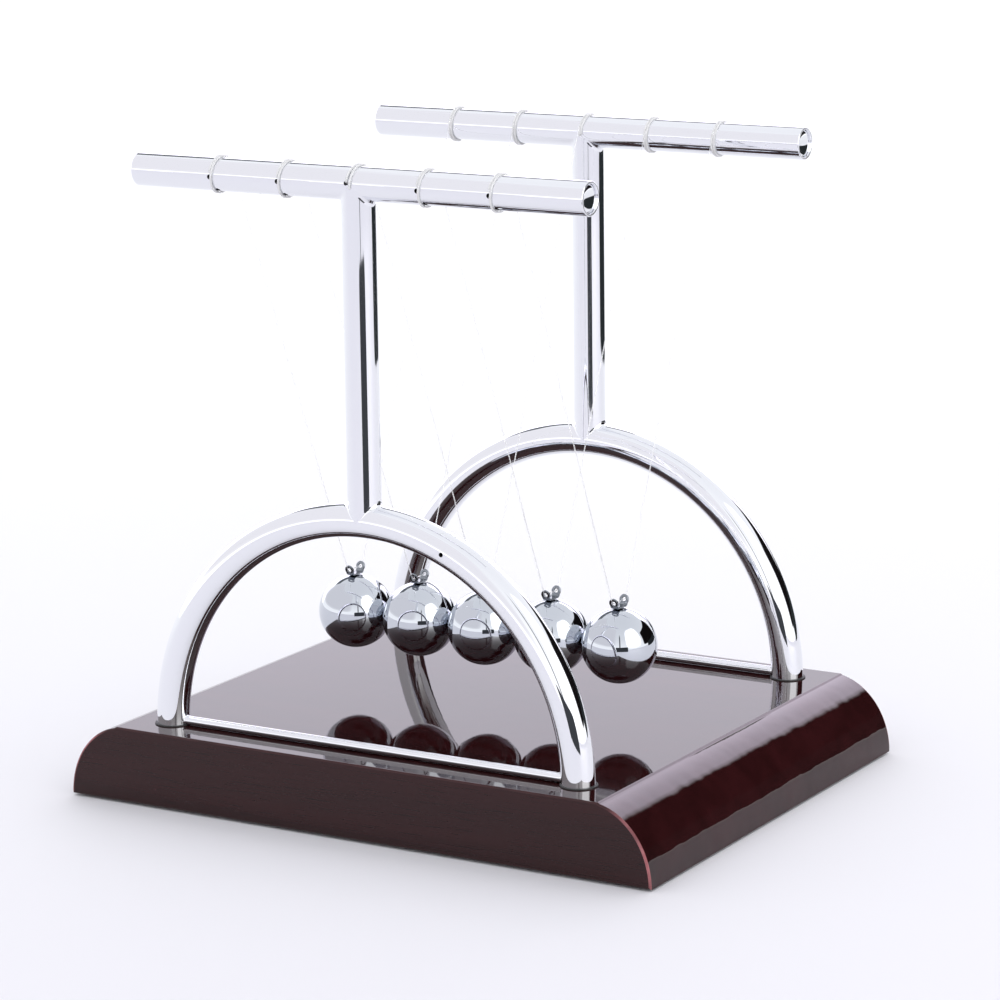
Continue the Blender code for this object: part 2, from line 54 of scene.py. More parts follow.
# %% [markdown]
# ## Sizes read from the frame
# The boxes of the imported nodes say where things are, so nothing is typed twice. A ball's box
# gives its middle and radius, a bar's box its height and tube size.

# %% Sizes that everything else follows


def middle_of(node):
    low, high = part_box(node)
    return (low + high) / 2


bar_low, bar_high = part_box("front_bar")
base_low, base_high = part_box("base")
rod_low, rod_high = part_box("front_tie_rod")
TUBE_RADIUS = (bar_high.y - bar_low.y) / 2
BAR_HALF = (bar_high.x - bar_low.x) / 2
BAR_HEIGHT = (bar_high.z + bar_low.z) / 2
FRAME_Y = middle_of("rear_bar").y
BASE_TOP = base_high.z
BASE_UNDER = base_low.z
ROD_RADIUS = (rod_high.z - rod_low.z) / 2
BALLS = [middle_of(f"ball_{n}") for n in range(1, 6)]
BALL_RADIUS = (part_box("ball_1")[1].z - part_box("ball_1")[0].z) / 2
LEG_X = middle_of("leg_screw_rear_right").x
arch_low, arch_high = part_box("front_arch")
ARCH_RADIUS = (arch_high.x - arch_low.x) / 2 - TUBE_RADIUS
ARCH_CENTRE = arch_high.z - TUBE_RADIUS - ARCH_RADIUS
print("tube radius", round(TUBE_RADIUS / MM, 2), "arch radius", round(ARCH_RADIUS / MM, 2),
      "arch centre", round(ARCH_CENTRE / MM, 2), "ball radius", round(BALL_RADIUS / MM, 2))

# %% [markdown]
# ## The camera
# A long lens a little over a metre away, 31 degrees round to the right and 12 degrees up, so
# that the two frames stay nearly parallel. The camera rolls by less than a degree.

# %% Camera
LENS = 138.3
CAMERA_PLACE = Vector((507.14, -848.01, 292.16)) * MM
CAMERA_RIGHT = Vector((0.861872, 0.506964, -0.012791))
CAMERA_DOWN = Vector((0.098109, -0.191432, -0.976590))
CAMERA_AHEAD = Vector((-0.497545, 0.840441, -0.214727))
turn = Matrix((CAMERA_RIGHT, -CAMERA_DOWN, -CAMERA_AHEAD)).transposed().to_4x4()
lens = bpy.data.cameras.new("camera")
lens.lens = LENS
lens.sensor_width = 36.0
lens.clip_start = 0.01
camera = bpy.data.objects.new("camera", lens)
camera.matrix_world = Matrix.Translation(CAMERA_PLACE) @ turn
bpy.context.scene.collection.objects.link(camera)
bpy.context.scene.camera = camera
print("camera distance", round(CAMERA_PLACE.length / MM), "mm")

# %% [markdown]
# ## Colours and shader nodes
# Colours are written as sRGB hex, as a paint chart gives them, and one function turns them to
# the linear numbers that a shader works in. One more function adds any node with its settings
# and links, so that a material reads as a short recipe.

# %% Helpers for materials


def linear(hex_colour, alpha=1.0):
    """sRGB hex, such as 8a4b2f, to linear RGBA."""
    parts = [int(hex_colour[i:i + 2], 16) / 255 for i in (0, 2, 4)]
    made = [c / 12.92 if c <= 0.04045 else ((c + 0.055) / 1.055) ** 2.4 for c in parts]
    return (*made, alpha)


def add(tree, kind, settings=None, **inputs):
    """Adds a node. settings are its attributes; inputs are its sockets, each a value or a link,
    named with _ for a space, or i0, i1, i2 for the first, second or third."""
    node = tree.nodes.new(kind)
    for key, value in (settings or {}).items():
        setattr(node, key, value)
    for key, value in inputs.items():
        place = int(key[1:]) if key[0] == "i" and key[1:].isdigit() else key.replace("_", " ")
        socket = node.inputs[place]
        if isinstance(value, bpy.types.NodeSocket):
            tree.links.new(value, socket)
        else:
            socket.default_value = value
    return node


def new_finish(name, **values):
    """A material with its Principled shader's own sockets set. Returns material, tree, shader."""
    made = bpy.data.materials.new(name)
    made.use_nodes = True
    tree = made.node_tree
    shader = tree.nodes["Principled BSDF"]
    for key, value in values.items():
        shader.inputs[key.replace("_", " ")].default_value = value
    return made, tree, shader

# %% [markdown]
# ## Nylon line
# The balls hang on clear nylon monofilament, the same as fishing line, drawn through a die and
# so quite smooth. A single taut run of it lets nearly all light through, so it shows only as a
# hair of grey. Wound on a bar, with glue and scratches on it, the same nylon looks milky.

# %% Nylon


def nylon_finish(name, colour, clear, cover, smooth, rough):
    """Nylon with a fine haze. clear is its transmission, cover how much of it shows at all,
    and smooth and rough are the ends of its roughness."""
    made, tree, shader = new_finish(name, Base_Color=linear(colour), IOR=1.53, Alpha=cover,
                                    Transmission_Weight=clear)
    where = add(tree, "ShaderNodeTexCoord").outputs["Object"]
    haze = add(tree, "ShaderNodeTexNoise", Vector=where, Scale=900.0, Detail=2.0)
    spread = add(tree, "ShaderNodeMapRange", Value=haze.outputs["Fac"], To_Min=smooth,
                 To_Max=rough)
    tree.links.new(spread.outputs["Result"], shader.inputs["Roughness"])
    return made


taut_nylon = nylon_finish("clear_nylon_monofilament", "ffffff", 0.8, 0.45, 0.12, 0.28)
wound_nylon = nylon_finish("milky_wound_nylon", "f7f7f7", 0.3, 1.0, 0.3, 0.45)
print("finishes", taut_nylon.name, wound_nylon.name)

# %% [markdown]
# ## The five threads
# Each ball hangs on one length of line. It comes off the winding on the front bar, runs down
# through both eyes of the clip, and up to the rear bar. It is taut, so each run is straight, and
# it turns through a small round bend at each eye. A curve with a round bevel is the plain way to
# make it, because the curve's own line is the line's real length. The points give the front
# half of one route, as (y, z) in metres: where it leaves the winding, a place 2.6 mm further
# down, the bend of 0.6 mm radius at the eye, and the level run between the two eyes.

# %% Threads
THREAD_DIAMETER = 0.32 * MM
THREAD_HALF = [
    (-0.053168, 0.167985), (-0.052153, 0.165617), (-0.003773, 0.052702), (-0.003698, 0.052555),
    (-0.003608, 0.052431), (-0.003504, 0.052330), (-0.003384, 0.052251),
    (-0.003250, 0.052195), (-0.003101, 0.052161), (-0.002937, 0.052150),
]
THREAD_ROUTE = THREAD_HALF + [(-y, z) for y, z in reversed(THREAD_HALF)]
steps = zip(THREAD_ROUTE, THREAD_ROUTE[1:])
THREAD_LENGTH = sum(math.dist(a, b) for a, b in steps)
for number, ball in enumerate(BALLS, 1):
    curve = bpy.data.curves.new(f"line_{number}", "CURVE")
    curve.dimensions = "3D"
    curve.bevel_depth = THREAD_DIAMETER / 2
    curve.bevel_resolution = 3
    curve.use_fill_caps = True
    spline = curve.splines.new("POLY")
    spline.points.add(len(THREAD_ROUTE) - 1)
    for point, (y, z) in zip(spline.points, THREAD_ROUTE):
        point.co = (ball.x, y, z, 1.0)
    curve.materials.append(taut_nylon)
    line = bpy.data.objects.new(f"line_{number}", curve)
    bpy.context.scene.collection.objects.link(line)
    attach(line, f"pendulum_{number}")
    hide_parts(f"thread_{number}")
print("free thread", round(THREAD_LENGTH / MM, 1), "mm each")

# %% [markdown]
# ## Helpers for meshes
# Every finished piece goes the same way into the scene: its mesh holds its place, its faces
# point out, edges that turn sharply stay crisp, it wears its finish, and it rides on a CAD body
# in place of the CAD nodes it improves on, which are hidden.

# %% Mesh helpers


def mesh_from(work, name):
    """A bmesh becomes a mesh with merged doubles and outward faces."""
    bmesh.ops.remove_doubles(work, verts=work.verts, dist=1e-6)
    bmesh.ops.recalc_face_normals(work, faces=work.faces)
    mesh = bpy.data.meshes.new(name)
    work.to_mesh(mesh)
    work.free()
    return mesh


def turned(profile, count, turn_by=None):
    """A lathe-turned bmesh round Z. profile holds (radius, height); a radius of 0 is a pole.
    A profile with no pole closes on itself, as a ring does."""
    work = bmesh.new()
    rings = []
    for radius, height in profile:
        if radius == 0:
            rings.append([work.verts.new((0, 0, height))])
            continue
        angles = [2 * math.pi * k / count for k in range(count)]
        rings.append([work.verts.new((radius * math.cos(a), radius * math.sin(a), height))
                      for a in angles])
    pairs = list(zip(rings, rings[1:]))
    if all(len(ring) > 1 for ring in rings):
        pairs.append((rings[-1], rings[0]))
    for first, second in pairs:
        for k in range(count):
            corners = [first[k % len(first)], first[(k + 1) % len(first)],
                       second[(k + 1) % len(second)], second[k % len(second)]]
            work.faces.new(list(dict.fromkeys(corners)))
    if turn_by:
        bmesh.ops.transform(work, matrix=turn_by, verts=work.verts)
    return work


def put(name, mesh, finish, body, stands_for=(), crease=35.0):
    """Links a finished mesh, gives it its finish, shades it, ties it to its CAD body and hides the
    CAD nodes it stands for.
    """
    obj = bpy.data.objects.new(name, mesh)
    bpy.context.scene.collection.objects.link(obj)
    mesh.materials.clear()
    mesh.materials.append(finish)
    mesh.shade_smooth()
    mesh.set_sharp_from_angle(angle=math.radians(crease))
    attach(obj, body)
    if stands_for:
        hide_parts(*stands_for)
    return obj


def applied(obj):
    """The object's mesh with its modifiers worked in, and none left on it."""
    graph = bpy.context.evaluated_depsgraph_get()
    mesh = bpy.data.meshes.new_from_object(obj.evaluated_get(graph))
    obj.modifiers.clear()
    obj.data = mesh
    return mesh


def carved(mesh, cutter, operation="DIFFERENCE"):
    """mesh with the bmesh cutter taken out of it, or joined to it, by an exact Boolean."""
    body = bpy.data.objects.new("body", mesh)
    tool = bpy.data.objects.new("tool", mesh_from(cutter, "tool"))
    for obj in (body, tool):
        bpy.context.scene.collection.objects.link(obj)
    boolean = body.modifiers.new("cut", "BOOLEAN")
    boolean.operation = operation
    boolean.solver = "EXACT"
    boolean.object = tool
    result = applied(body)
    bpy.data.objects.remove(body)
    bpy.data.objects.remove(tool)
    return result

# %% [markdown]
# ## Helpers for Geometry Nodes
# Whatever repeats or follows a path is grown by a node tree: the bent tubes, the turns of line
# and the four sets of fixings under the board. A tree's inputs are named for the sizes they
# set. The result is turned into a plain mesh at once, so nothing live is left behind.

# %% Geometry Nodes helpers


def new_growth(name, **inputs):
    """A geometry tree with named inputs. Returns the tree, its sockets by name, and its end."""
    tree = bpy.data.node_groups.new(name, "GeometryNodeTree")
    kinds = {int: "NodeSocketInt", float: "NodeSocketFloat"}
    tree.interface.new_socket("Geometry", in_out="INPUT", socket_type="NodeSocketGeometry")
    for key, value in inputs.items():
        kind = kinds.get(type(value), "NodeSocketMaterial")
        socket = tree.interface.new_socket(
            key.replace("_", " "), in_out="INPUT", socket_type=kind)
        if value is not None:
            socket.default_value = value
    tree.interface.new_socket("Geometry", in_out="OUTPUT", socket_type="NodeSocketGeometry")
    start = tree.nodes.new("NodeGroupInput")
    end = tree.nodes.new("NodeGroupOutput")
    return tree, start.outputs, end.inputs[0]


def grow(tree, start_mesh=None, **values):
    """Runs a tree with these input values and returns the plain mesh that it makes."""
    seed = start_mesh or bpy.data.meshes.new("seed")
    holder = bpy.data.objects.new("holder", seed)
    bpy.context.scene.collection.objects.link(holder)
    modifier = holder.modifiers.new("growth", "NODES")
    modifier.node_group = tree
    for item in tree.interface.items_tree:
        key = item.name.replace(" ", "_")
        if item.in_out == "INPUT" and key in values:
            modifier[item.identifier] = values[key]
    mesh = applied(holder)
    bpy.data.objects.remove(holder)
    return mesh


# %% [markdown]
# ## Lacquered board
# The board is wood stained a deep red-brown and sprayed with many coats of clear lacquer,
# rubbed and polished until it mirrors the room. Under the clear coat the grain still shows as
# fine dark pores along the length and slow changes of tone. The rims of the rolled ends are
# painted a lighter, pinkish brown: a painted highlight, where light catches the rounded edge.
# A Principled shader with a full coat is just that: stained wood below, with the painted
# highlight mixed in, and clear lacquer above. The lacquer lies dead flat on the top, which was
# machine polished, and a little wavy on the rolled ends, polished by hand.

# %% Lacquered mahogany
GRAIN_STRETCH = 0.045
PORE_SPACING = 0.45 * MM
BAND_SPACING = 9 * MM
RIPPLE_SPACING = 7 * MM
mahogany, wood, wood_shader = new_finish(
    "polyester_lacquered_mahogany", Roughness=0.5, IOR=1.5, Specular_IOR_Level=0.0,
    Coat_Weight=1.0, Coat_Roughness=0.03, Coat_IOR=1.37)
where = add(wood, "ShaderNodeTexCoord").outputs["Object"]
along = add(wood, "ShaderNodeMapping", Vector=where, Scale=(GRAIN_STRETCH, 1.0, 1.0)).outputs[0]
pores = add(wood, "ShaderNodeTexNoise", Vector=along, Scale=1 / PORE_SPACING, Detail=3.0,
            Roughness=0.65)
bands = add(wood, "ShaderNodeTexNoise", Vector=along, Scale=1 / BAND_SPACING, Detail=4.0,
            Distortion=0.6)
tone = add(wood, "ShaderNodeValToRGB", Fac=bands.outputs["Fac"])
tone.color_ramp.elements[0].position = 0.32
tone.color_ramp.elements[0].color = linear("230c0d")
tone.color_ramp.elements[1].position = 0.72
tone.color_ramp.elements[1].color = linear("301214")
dark = add(wood, "ShaderNodeMapRange", Value=pores.outputs["Fac"], From_Min=0.56, From_Max=0.70)
pored = add(wood, "ShaderNodeMix", {"data_type": "RGBA", "blend_type": "MULTIPLY"},
            Factor=dark.outputs["Result"])
wood.links.new(tone.outputs["Color"], pored.inputs[6])
pored.inputs[7].default_value = linear("c4b6b4")
# Painted highlight: on the rims of the rolled ends the wood is mixed towards a lighter pinkish
# brown, broken up by noise, where light catches the rounded edge.
edge_highlight = add(wood, "ShaderNodeAttribute", {"attribute_name": "edge_highlight"})
patches = add(wood, "ShaderNodeTexNoise", Vector=where, Scale=140.0, Detail=3.0)
patchy_highlight = add(wood, "ShaderNodeMapRange", Value=patches.outputs["Fac"], From_Min=0.2,
              From_Max=0.65)
highlight_share = add(wood, "ShaderNodeMath", {"operation": "MULTIPLY"}, i0=edge_highlight.outputs["Fac"],
           i1=patchy_highlight.outputs["Result"])
highlighted = add(wood, "ShaderNodeMix", {"data_type": "RGBA"}, Factor=highlight_share.outputs[0])
wood.links.new(pored.outputs[2], highlighted.inputs[6])
highlighted.inputs[7].default_value = linear("a8686c")
wood.links.new(highlighted.outputs[2], wood_shader.inputs["Base Color"])
ripple = add(wood, "ShaderNodeTexNoise", Vector=where, Scale=1 / RIPPLE_SPACING, Detail=1.0)
facing = add(wood, "ShaderNodeNewGeometry")
upward = add(wood, "ShaderNodeSeparateXYZ", Vector=facing.outputs["Normal"])
unevenness = add(wood, "ShaderNodeMapRange", Value=upward.outputs["Z"], From_Min=0.9,
                 From_Max=0.99, To_Min=0.3, To_Max=0.03)
skin = add(wood, "ShaderNodeBump", Height=ripple.outputs["Fac"],
           Strength=unevenness.outputs["Result"], Distance=0.3 * MM)
wood.links.new(skin.outputs["Normal"], wood_shader.inputs["Coat Normal"])
print("finish", mahogany.name)

# %% [markdown]
# ## Board shape
# The board's long section is a flat top that steps down a hair before each end rolls over to
# the table in a quarter ellipse. Lacquer has eased the step, so it is a smooth slope. The
# section is drawn once, pushed through from front to rear, and its rims are bevelled as
# sandpaper would leave them. Counterbores for the four screws and shallow seats for the pads
# are cut from below. Each corner of a face carries how much painted edge highlight it gets:
# only the rims get it, hardly on the straight stretch and more and more towards the ends.

# %% Board
BASE_HALF = base_high.x
BASE_HALF_DEPTH = base_high.y
ROLL_RUN = 17.5 * MM
ROLL_RISE = BASE_TOP - BASE_UNDER
STEP_FROM_END = 14.0 * MM
STEP_RUN = 0.9 * MM
STEP_POINTS = 7
RIM = 0.55 * MM
ROLL_POINTS = 26
last_turn = math.acos(1 - STEP_FROM_END / ROLL_RUN)
half_section = [(BASE_HALF, BASE_UNDER)]
for k in range(1, ROLL_POINTS + 1):
    angle = last_turn * k / ROLL_POINTS
    half_section.append((BASE_HALF - ROLL_RUN * (1 - math.cos(angle)),
                         BASE_UNDER + ROLL_RISE * math.sin(angle)))
step_low = half_section[-1][1]
for k in range(1, STEP_POINTS + 1):
    share = k / STEP_POINTS
    half_section.append((BASE_HALF - STEP_FROM_END - STEP_RUN * share,
                         step_low + (BASE_TOP - step_low) * share**2 * (3 - 2 * share)))
section = half_section + [(-x, z) for x, z in reversed(half_section)]
work = bmesh.new()
ends = []
for y in (-BASE_HALF_DEPTH, BASE_HALF_DEPTH):
    ends.append(work.faces.new([work.verts.new((x, y, z)) for x, z in section]))
work.verts.ensure_lookup_table()
count = len(section)
for k in range(count):
    after = (k + 1) % count
    work.faces.new([work.verts[i] for i in (k, after, count + after, count + k)])
bmesh.ops.recalc_face_normals(work, faces=work.faces)
rims = [edge for face in ends for edge in face.edges]
bmesh.ops.bevel(work, geom=rims, offset=RIM, segments=3, profile=0.5, affect="EDGES")
board_mesh = mesh_from(work, "board")

cutter = bmesh.new()
BORE_RADIUS = 5.4 * MM
BORE_DEPTH = 7.0 * MM
PAD_SEAT_RADIUS = 6.3 * MM
PAD_SEAT_DEPTH = 0.5 * MM
pad = middle_of("foot_pad_rear_right")
for sx in (-1, 1):
    for sy in (-1, 1):
        for x, y, radius, depth in ((LEG_X, FRAME_Y, BORE_RADIUS, BORE_DEPTH),
                                    (pad.x, pad.y, PAD_SEAT_RADIUS, PAD_SEAT_DEPTH)):
            low, high = BASE_UNDER - MM, BASE_UNDER + depth
            drill = mesh_from(turned([(0, low), (radius, low), (radius, high), (0, high)], 48,
                                     Matrix.Translation((sx * x, sy * y, 0))), "drill")
            cutter.from_mesh(drill)
            bpy.data.meshes.remove(drill)
board_mesh = carved(board_mesh, cutter)
# Painted highlight on the rims: its share grows from a little on the straight stretch to full on
# the rolled ends.
HIGHLIGHT_FROM = BASE_HALF - STEP_FROM_END + 2 * MM
HIGHLIGHT_RUN = 5 * MM
LEAST_HIGHLIGHT = 0.05
highlight_layer = board_mesh.attributes.new("edge_highlight", "FLOAT", "CORNER")
for face in board_mesh.polygons:
    on_rim = 0.1 < abs(face.normal.y) < 0.98 and face.normal.z > -0.05
    for corner in face.loop_indices if on_rim else ():
        spot = board_mesh.vertices[board_mesh.loops[corner].vertex_index].co
        rolled = (abs(spot.x) - HIGHLIGHT_FROM) / HIGHLIGHT_RUN
        highlight_layer.data[corner].value = min(max(rolled, LEAST_HIGHLIGHT), 1.0)
board = put("board", board_mesh, mahogany, "stand", ["base"], 28.0)
weighted = board.modifiers.new("flat faces stay flat", "WEIGHTED_NORMAL")
weighted.keep_sharp = True
weighted.weight = 80
print("board", len(board.data.polygons), "faces")

# %% [markdown]
# ## Bright chrome on tube, and mirror-polished balls
# The frames are thin steel tube, welded, polished and chrome plated. Bright chrome mirrors the
# room with hardly any blur, is a touch blue, and carries faint wipe marks. The balls are ground
# steel with a darker nickel plate, so they look greyer than the tube. Both are metals: their
# colour is that of the reflection, and the roughness of so fine a polish is only 0.01 to 0.06.
# The clips are tumbled, not polished, and darker. The inside of a drilled hole, bare steel
# where plating doesn't reach, is coloured near-black and matt: painted shade.

# %% Metal finishes


def polished(name, colour, smooth, rough, wipe_scale):
    """Bright plate whose roughness wanders a little, as wipe marks make it."""
    made, tree, shader = new_finish(name, Base_Color=linear(colour), Metallic=1.0)
    where = add(tree, "ShaderNodeTexCoord").outputs["Object"]
    stretched = add(tree, "ShaderNodeMapping", Vector=where, Scale=(1.0, 1.0, 0.35)).outputs[0]
    wipe = add(tree, "ShaderNodeTexNoise", Vector=stretched, Scale=wipe_scale, Detail=4.0,
               Roughness=0.6)
    spread = add(tree, "ShaderNodeMapRange", Value=wipe.outputs["Fac"], From_Min=0.35,
                 From_Max=0.75, To_Min=smooth, To_Max=rough)
    tree.links.new(spread.outputs["Result"], shader.inputs["Roughness"])
    return made


chrome = polished("bright_chrome_plate_on_steel_tube", "f0f1f5", 0.025, 0.055, 220.0)
ball_plate = polished("polished_nickel_plated_ball", "cdd1d8", 0.012, 0.03, 160.0)
clip_plate = polished("tumbled_nickel_plated_strip", "8d9298", 0.12, 0.24, 1200.0)
# Painted shade: a near-black matt colour for the insides of drilled holes.
hole_shade = new_finish("unplated_steel_bore", Base_Color=linear("141416"), Roughness=0.7)[0]


def paint_hole_shade(obj, inside):
    """Gives the faces whose middle passes the test a near-black matt colour, painted shade inside
    a hole.
    """
    obj.data.materials.append(hole_shade)
    for face in obj.data.polygons:
        if inside(face.center):
            face.material_index = 1


print("finishes", chrome.name, ball_plate.name, clip_plate.name, hole_shade.name)

# %% [markdown]
# ## Bent arches
# Each frame starts as one tube bent to a half circle. In geometry nodes that is an arc swept
# with a round section. Its ends stand in the seat rings, a hair below the top of the board. The
# tube's vent, a hole that lets gas out while it is welded and plated, is drilled in the front one.

# %% Arches
TUBE_SIDES = 56
ARCH_STEPS = 128
LEG_RISE = 0.1 * MM
LEG_STOP = math.asin(LEG_RISE / ARCH_RADIUS)
bent, ports, end = new_growth(
    "bent tube", Arch_Radius=0.06, Tube_Radius=0.004, Start_Angle=0.0, Sweep=3.14,
    Front_Offset=0.0, Rise=0.0, Steps=ARCH_STEPS, Sides=TUBE_SIDES, Finish=chrome)
arc = add(bent, "GeometryNodeCurveArc", {"mode": "RADIUS"}, Resolution=ports["Steps"],
          Radius=ports["Arch Radius"], Start_Angle=ports["Start Angle"],
          Sweep_Angle=ports["Sweep"])
offset = add(bent, "ShaderNodeCombineXYZ", Y=ports["Front Offset"], Z=ports["Rise"])
stood = add(bent, "GeometryNodeTransform", Geometry=arc.outputs[0],
            Translation=offset.outputs[0], Rotation=(math.pi / 2, 0, 0))
ring = add(bent, "GeometryNodeCurvePrimitiveCircle", Resolution=ports["Sides"],
           Radius=ports["Tube Radius"])
skin = add(bent, "GeometryNodeCurveToMesh", Curve=stood.outputs[0],
           Profile_Curve=ring.outputs[0], Fill_Caps=True)
coated = add(bent, "GeometryNodeSetMaterial", Geometry=skin.outputs[0],
             Material=ports["Finish"])
bent.links.new(coated.outputs[0], end)
VENT_RADIUS = 0.6 * MM
VENT_REACH = 4 * MM
VENT_START = 2 * MM
VENT_ANGLE = math.radians(66.0)
HOLE_SHADE_MARGIN = 0.12 * MM
for side, sign in SIDES.items():
    mesh = grow(bent, Arch_Radius=ARCH_RADIUS, Tube_Radius=TUBE_RADIUS, Rise=ARCH_CENTRE,
                Front_Offset=sign * FRAME_Y, Start_Angle=LEG_STOP,
                Sweep=math.pi - 2 * LEG_STOP)
    closed = bmesh.new()
    closed.from_mesh(mesh)
    mesh = mesh_from(closed, f"{side}_arch_tube")
    if side == "front":
        wall = Vector((ARCH_RADIUS * math.cos(VENT_ANGLE), -FRAME_Y - TUBE_RADIUS - VENT_START,
                       ARCH_CENTRE + ARCH_RADIUS * math.sin(VENT_ANGLE)))
        aim = Matrix.Translation(wall) @ Matrix.Rotation(-math.pi / 2, 4, "X")
        mesh = carved(mesh, turned([(0, 0), (VENT_RADIUS, 0), (VENT_RADIUS, VENT_REACH),
                                    (0, VENT_REACH)], 24, aim))
    tube = put(f"{side}_arch_tube", mesh, chrome, "stand", [f"{side}_arch"])
    if side == "front":
        # Painted shade inside the vent.
        paint_hole_shade(tube, lambda spot: math.hypot(
            math.hypot(spot.x, spot.z - ARCH_CENTRE) - ARCH_RADIUS,
            spot.y + FRAME_Y) < TUBE_RADIUS - HOLE_SHADE_MARGIN)
print("arch tubes", len(mesh.polygons), "faces each")

# %% [markdown]
# ## Posts, bars and weld beads
# The post stands on the crown of the arch and carries the bar, like a T. Where round tube meets
# round tube the fitter leaves a small smooth fillet of weld, which plating makes shine. A
# bead follows the line where the two tubes meet: it is full at the sides and dies away to a
# quarter where they run into each other front and rear.

# %% Posts and weld beads
BEAD = 1.3 * MM
LEAST_BEAD = 0.25
BEAD_ROUND = 96
BEAD_STEPS = 6
GRAZE = 0.995
INSIDE = 0.8
UNDER_X, UNDER_Y = 0.97, 0.9
ROOT_DEPTH = 0.6 * MM


def bar_underside(x, y):
    """Height of the bar's lower wall from its axis. The bar is straight, so x changes nothing."""
    return -math.sqrt(max(TUBE_RADIUS**2 - y * y, 0.0))


def crown_top(x, y):
    """Height of the arch's upper wall from the top of its centre line."""
    reach = ARCH_RADIUS + math.sqrt(max(TUBE_RADIUS**2 - y * y, 0.0))
    return math.sqrt(reach**2 - x * x) - ARCH_RADIUS


def weld_bead(surface, centre_height, y_centre, upward):
    """A closed ring of bead between the post and a surface above or below it. Its hidden back
    lies inside the tubes, at the share INSIDE of the way out to the post's wall."""
    work = bmesh.new()
    loops = []
    for k in range(BEAD_ROUND):
        angle = 2 * math.pi * (k + 0.5) / BEAD_ROUND
        cos, sin = math.cos(angle), math.sin(angle)
        size = BEAD * (LEAST_BEAD + (1 - LEAST_BEAD) * abs(cos) ** 0.7)
        x, y = TUBE_RADIUS * cos, TUBE_RADIUS * sin
        joint = Vector((x, y, surface(x, y)))
        on_post = joint + Vector((0, 0, upward * size))
        out_x = x + size * cos
        on_tube = Vector((out_x, y * GRAZE, surface(out_x, y * GRAZE)))
        loop = []
        for step in range(BEAD_STEPS + 1):
            t = step / BEAD_STEPS
            loop.append(on_post.lerp(joint, t).lerp(joint.lerp(on_tube, t), t))
        in_x, in_y = x * INSIDE, y * INSIDE
        root = surface(in_x, in_y) - upward * ROOT_DEPTH
        loop.append(Vector((out_x * UNDER_X, y * UNDER_Y, root - upward * ROOT_DEPTH / 2)))
        loop.append(Vector((in_x, in_y, root)))
        loop.append(Vector((in_x, in_y, on_post.z)))
        shift = Vector((0, y_centre, centre_height))
        loops.append([work.verts.new(p + shift) for p in loop])
    for k in range(BEAD_ROUND):
        first, second = loops[k], loops[(k + 1) % BEAD_ROUND]
        for i in range(len(first)):
            j = (i + 1) % len(first)
            work.faces.new((first[i], first[j], second[j], second[i]))
    return work


CROWN = ARCH_CENTRE + ARCH_RADIUS
for side, sign in SIDES.items():
    y = sign * FRAME_Y
    post = turned([(0, CROWN), (TUBE_RADIUS, CROWN), (TUBE_RADIUS, BAR_HEIGHT), (0, BAR_HEIGHT)],
                  TUBE_SIDES, Matrix.Translation((0, y, 0)))
    put(f"{side}_post_tube", mesh_from(post, f"{side}_post_tube"), chrome, "stand",
        [f"{side}_post"])
    beads = weld_bead(bar_underside, BAR_HEIGHT, y, -1)
    lower = mesh_from(weld_bead(crown_top, CROWN, y, 1), "lower_bead")
    beads.from_mesh(lower)
    bpy.data.meshes.remove(lower)
    put(f"{side}_post_welds", mesh_from(beads, f"{side}_post_welds"), chrome, "stand", (),
        60.0)
print("weld beads", BEAD_ROUND, "sections each")

# %% [markdown]
# ## Bars with plugged ends
# A bar is tube cut square, its rim rounded over by polishing, with a slightly domed plug
# pressed in just below the rim. Both turn about the bar's length, so both are lathe profiles.
# The two holes for the ends of each winding are drilled last. HOLES gives their angles round
# the bar, in degrees up from its outer side: False for a ball beside the post, True for the
# middle one, where the post keeps the line from passing under the bar.

# %% Bars and plugs
WIND_DRIFT = 0.8 * MM
WIND_END = 0.35 * MM
RIM_ROUND = 0.3 * MM
RIM_STEPS = 6
TUBE_BORE = TUBE_RADIUS - 0.75 * MM
BORE_END = 4 * MM
PLUG_RADIUS = TUBE_BORE - 0.05 * MM
PLUG_LENGTH = 3 * MM
PLUG_INSET = 0.3 * MM
PLUG_DOME = 0.45 * MM
DOME_STEPS = 8
along_x = Matrix.Rotation(math.pi / 2, 4, "Y")
rim_out = []
for k in range(RIM_STEPS + 1):
    angle = math.pi / 2 * k / RIM_STEPS
    rim_out.append((TUBE_RADIUS - RIM_ROUND * (1 - math.cos(angle)),
                    BAR_HALF - RIM_ROUND * (1 - math.sin(angle))))
rim_in = [(TUBE_BORE + TUBE_RADIUS - r, z) for r, z in reversed(rim_out)]
floor_in = [(TUBE_BORE, BAR_HALF - BORE_END), (0, BAR_HALF - BORE_END)]
right_half = [*rim_out, *rim_in, *floor_in]
profile = [(r, -z) for r, z in reversed(right_half)] + right_half
dome = []
for k in range(DOME_STEPS):
    angle = math.pi / 2 * k / DOME_STEPS
    dome.append((PLUG_RADIUS * math.cos(angle), PLUG_DOME * math.sin(angle)))
plug_profile = [(0, -PLUG_LENGTH), (PLUG_RADIUS, -PLUG_LENGTH), *dome, (0, PLUG_DOME)]
DRILL_RADIUS = 0.65 * MM
DRILL_DEPTH = 1.6 * MM
HOLES = {False: (-4.0, -58.0), True: (6.0, -16.0)}
bit = [(0, TUBE_RADIUS - DRILL_DEPTH), (DRILL_RADIUS, TUBE_RADIUS - DRILL_DEPTH),
       (DRILL_RADIUS, TUBE_RADIUS + MM), (0, TUBE_RADIUS + MM)]
